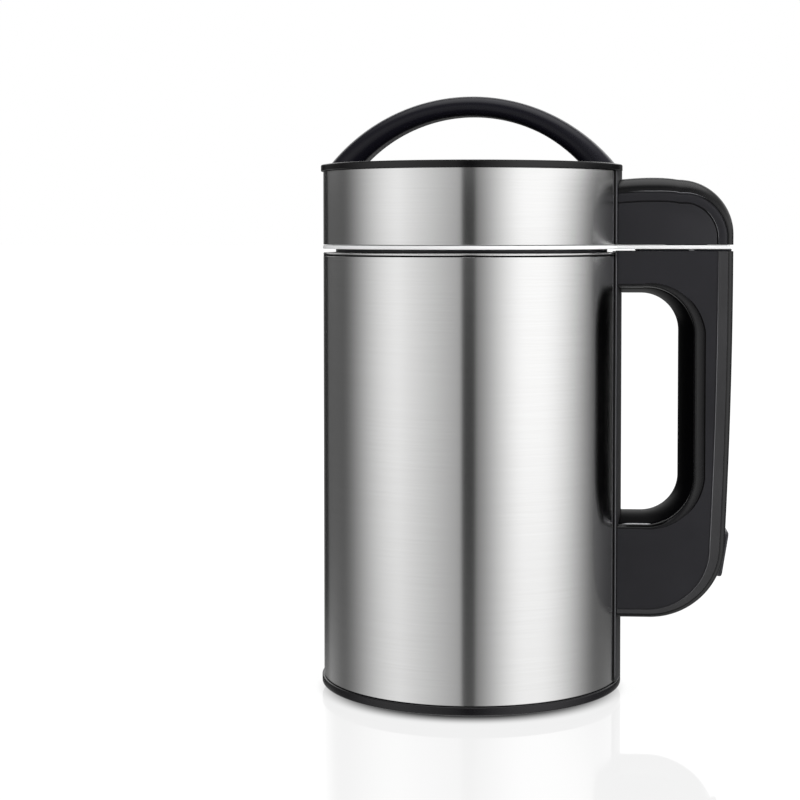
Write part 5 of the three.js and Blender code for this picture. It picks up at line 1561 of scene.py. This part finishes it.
# Studio
def make_world():
    """White to the camera. Gloss sees two tall soft boxes with a dark gap between them, and white behind."""
    world = bpy.data.worlds.new("studio")
    scene.world = world
    world.use_nodes = True
    sheet = Sheet(world.node_tree)
    x, y, z = sheet.split(sheet.add("ShaderNodeTexCoord").outputs["Generated"])
    turn = x.math("ARCTAN2", y * -1) * (180 / math.pi) - math.degrees(CAMERA_ROUND)
    aside = turn.math("ABSOLUTE")

    left = turn.step(-118, -56) * turn.run(-57, -9, 1, 0.37) * turn.step(-6.5, -8)
    right = turn.step(-6, 43) * turn.step(116, 52) * turn.step(2, 4)
    level = (0.1 + z.step(0.52, 0.2) * 0.9) * z.run(-0.08, -0.26, 1, 0.78)
    behind = z.step(0.15, 0.175) * z.step(0.62, 0.5) * (
        0.12 + aside.step(120, 160) * 1.1 + turn.step(50, 100) * turn.step(160, 120) * 0.7)
    rear = z.step(-0.2, -0.34) * (aside.step(118, 160) * 0.5 + 0.06)
    shade = turn.step(118, 144) * turn.step(158, 150) + turn.step(-163, -159) * turn.step(-145, -149)
    slot = turn.step(-8, -6.5) * turn.step(4, 2)
    above = z.step(0.7, 0.95) + z.step(0.4, 0.65) * x.step(0.1, 0.5) * 0.2

    room, left_light, right_light, top_light, shade_depth, slot_depth = 0.11, 0.96, 1.2, 1.6, 0.085, 0.075
    boxes = (left * left_light + right * right_light) * level
    glow = room - shade * shade_depth - slot * slot_depth + boxes + behind + rear + above * top_light

    light = sheet.add("ShaderNodeLightPath")
    colour = sheet.add("ShaderNodeCombineColor", None, {0: glow, 1: glow, 2: glow})
    gloss = sheet.add("ShaderNodeBackground", None, {"Color": colour.outputs[0], "Strength": 1})
    soft = sheet.add("ShaderNodeBackground", None, {"Color": tone(1), "Strength": 0.7})
    white = sheet.add("ShaderNodeBackground", None, {"Color": tone(1), "Strength": 1})
    first = sheet.add("ShaderNodeMixShader", None, {
        0: light.outputs["Is Glossy Ray"], 1: soft.outputs[0], 2: gloss.outputs[0]})
    seen = Value(sheet, light.outputs["Is Camera Ray"]).math(
        "MAXIMUM", Value(sheet, light.outputs["Is Transmission Ray"]))
    last = sheet.add("ShaderNodeMixShader", None, {0: seen, 1: first.outputs[0], 2: white.outputs[0]})
    sheet.add("ShaderNodeOutputWorld", None, {"Surface": last.outputs[0]})


def make_lamps():
    """Big soft lamps for the matt surfaces; gloss takes its light from the world."""
    aim = Vector((0, 0, 160))
    lamps = [("key", (1000, -1400, 1200), 900, 10.5), ("fill", (-1300, -900, 900), 900, 2),
             ("side", (1600, -300, 500), 700, 12), ("top", (100, 300, 1700), 1100, 7),
             ("back", (-300, 1500, 900), 900, 5)]
    for name, at, size, power in lamps:
        data = bpy.data.lights.new(name, "AREA")
        data.shape = "SQUARE"
        data.size = size * MM
        data.energy = power
        lamp = bpy.data.objects.new(name, data)
        lamp.location = Vector(at) * MM
        lamp.rotation_euler = (aim - Vector(at)).to_track_quat("-Z", "Y").to_euler()
        lamp.visible_glossy = False
        lamp.visible_camera = False
        scene.collection.objects.link(lamp)


def make_floor():
    """A pale table with a faint mirror image. Its own glow keeps it white, fades to nothing under the skirt
    as a painted contact shadow, and dims a little near the object.
    """
    half = 40000
    shadow_in, shadow_out, mirror_in, mirror_out = 0.068, 0.0875, 0.25, 0.4
    mirror_share, dimming = 0.105, 0.095
    corners = [(-half, -half, 0), (half, -half, 0), (half, half, 0), (-half, half, 0)]
    floor = mesh_object("table_top", (corners, [(0, 1, 2, 3)]))
    material = bpy.data.materials.new("pale_table")
    material.use_nodes = True
    sheet = Sheet(material.node_tree)
    light = sheet.add("ShaderNodeLightPath")
    x, y, _ = sheet.split(sheet.place())
    reach = (x * x + y * y).math("SQRT")
    # Painted contact shadow: the glow is 0 inside shadow_in of the axis and full past shadow_out; near dims
    # it a little out to mirror_out
    clear = reach.step(shadow_in, shadow_out)
    near = reach.step(mirror_out, mirror_in)
    matt = sheet.add("ShaderNodeBsdfDiffuse", None, {"Color": tone(0.08)})
    glow = sheet.add("ShaderNodeEmission", None, {"Color": tone(1), "Strength": clear * (1 - near * dimming)})
    shiny = sheet.add("ShaderNodeBsdfGlossy", None, {"Color": tone(1), "Roughness": 0.03})
    lit = sheet.add("ShaderNodeAddShader", None, {0: matt.outputs[0], 1: glow.outputs[0]})
    seen = sheet.add("ShaderNodeMixShader", None, {
        0: near * mirror_share, 1: lit.outputs[0], 2: shiny.outputs[0]})
    plain = sheet.add("ShaderNodeBsdfDiffuse", None, {"Color": tone(0.75)})
    last = sheet.add("ShaderNodeMixShader", None, {
        0: light.outputs["Is Camera Ray"], 1: plain.outputs[0], 2: seen.outputs[0]})
    sheet.add("ShaderNodeOutputMaterial", None, {"Surface": last.outputs[0]})
    floor.data.materials.append(material)
    floor.visible_glossy = False


make_camera()
FINISH = make_finishes()
SCREWS, BEADS, SLOTS, TURNS, PINS = screw_kit(), bead_kit(), slot_kit(), turning_kit(), pin_kit()
base()
cup()
level_marks()
curved_strip("handle_strip", "handle_flange", "cup")
curved_strip("cap_strip", "cap_flange", "head")
handle()
handle_screws()
cap()
parting_beads()
inlet()
coupler()
trim()
head()
buttons()
neck_seal()
panel_marks()
neck()
blade_guard()
probes()
shaft()
blade()
carry_handle()
dress_plain_nodes()
make_world()
make_lamps()
make_floor()
scene.view_settings.view_transform = "Standard"
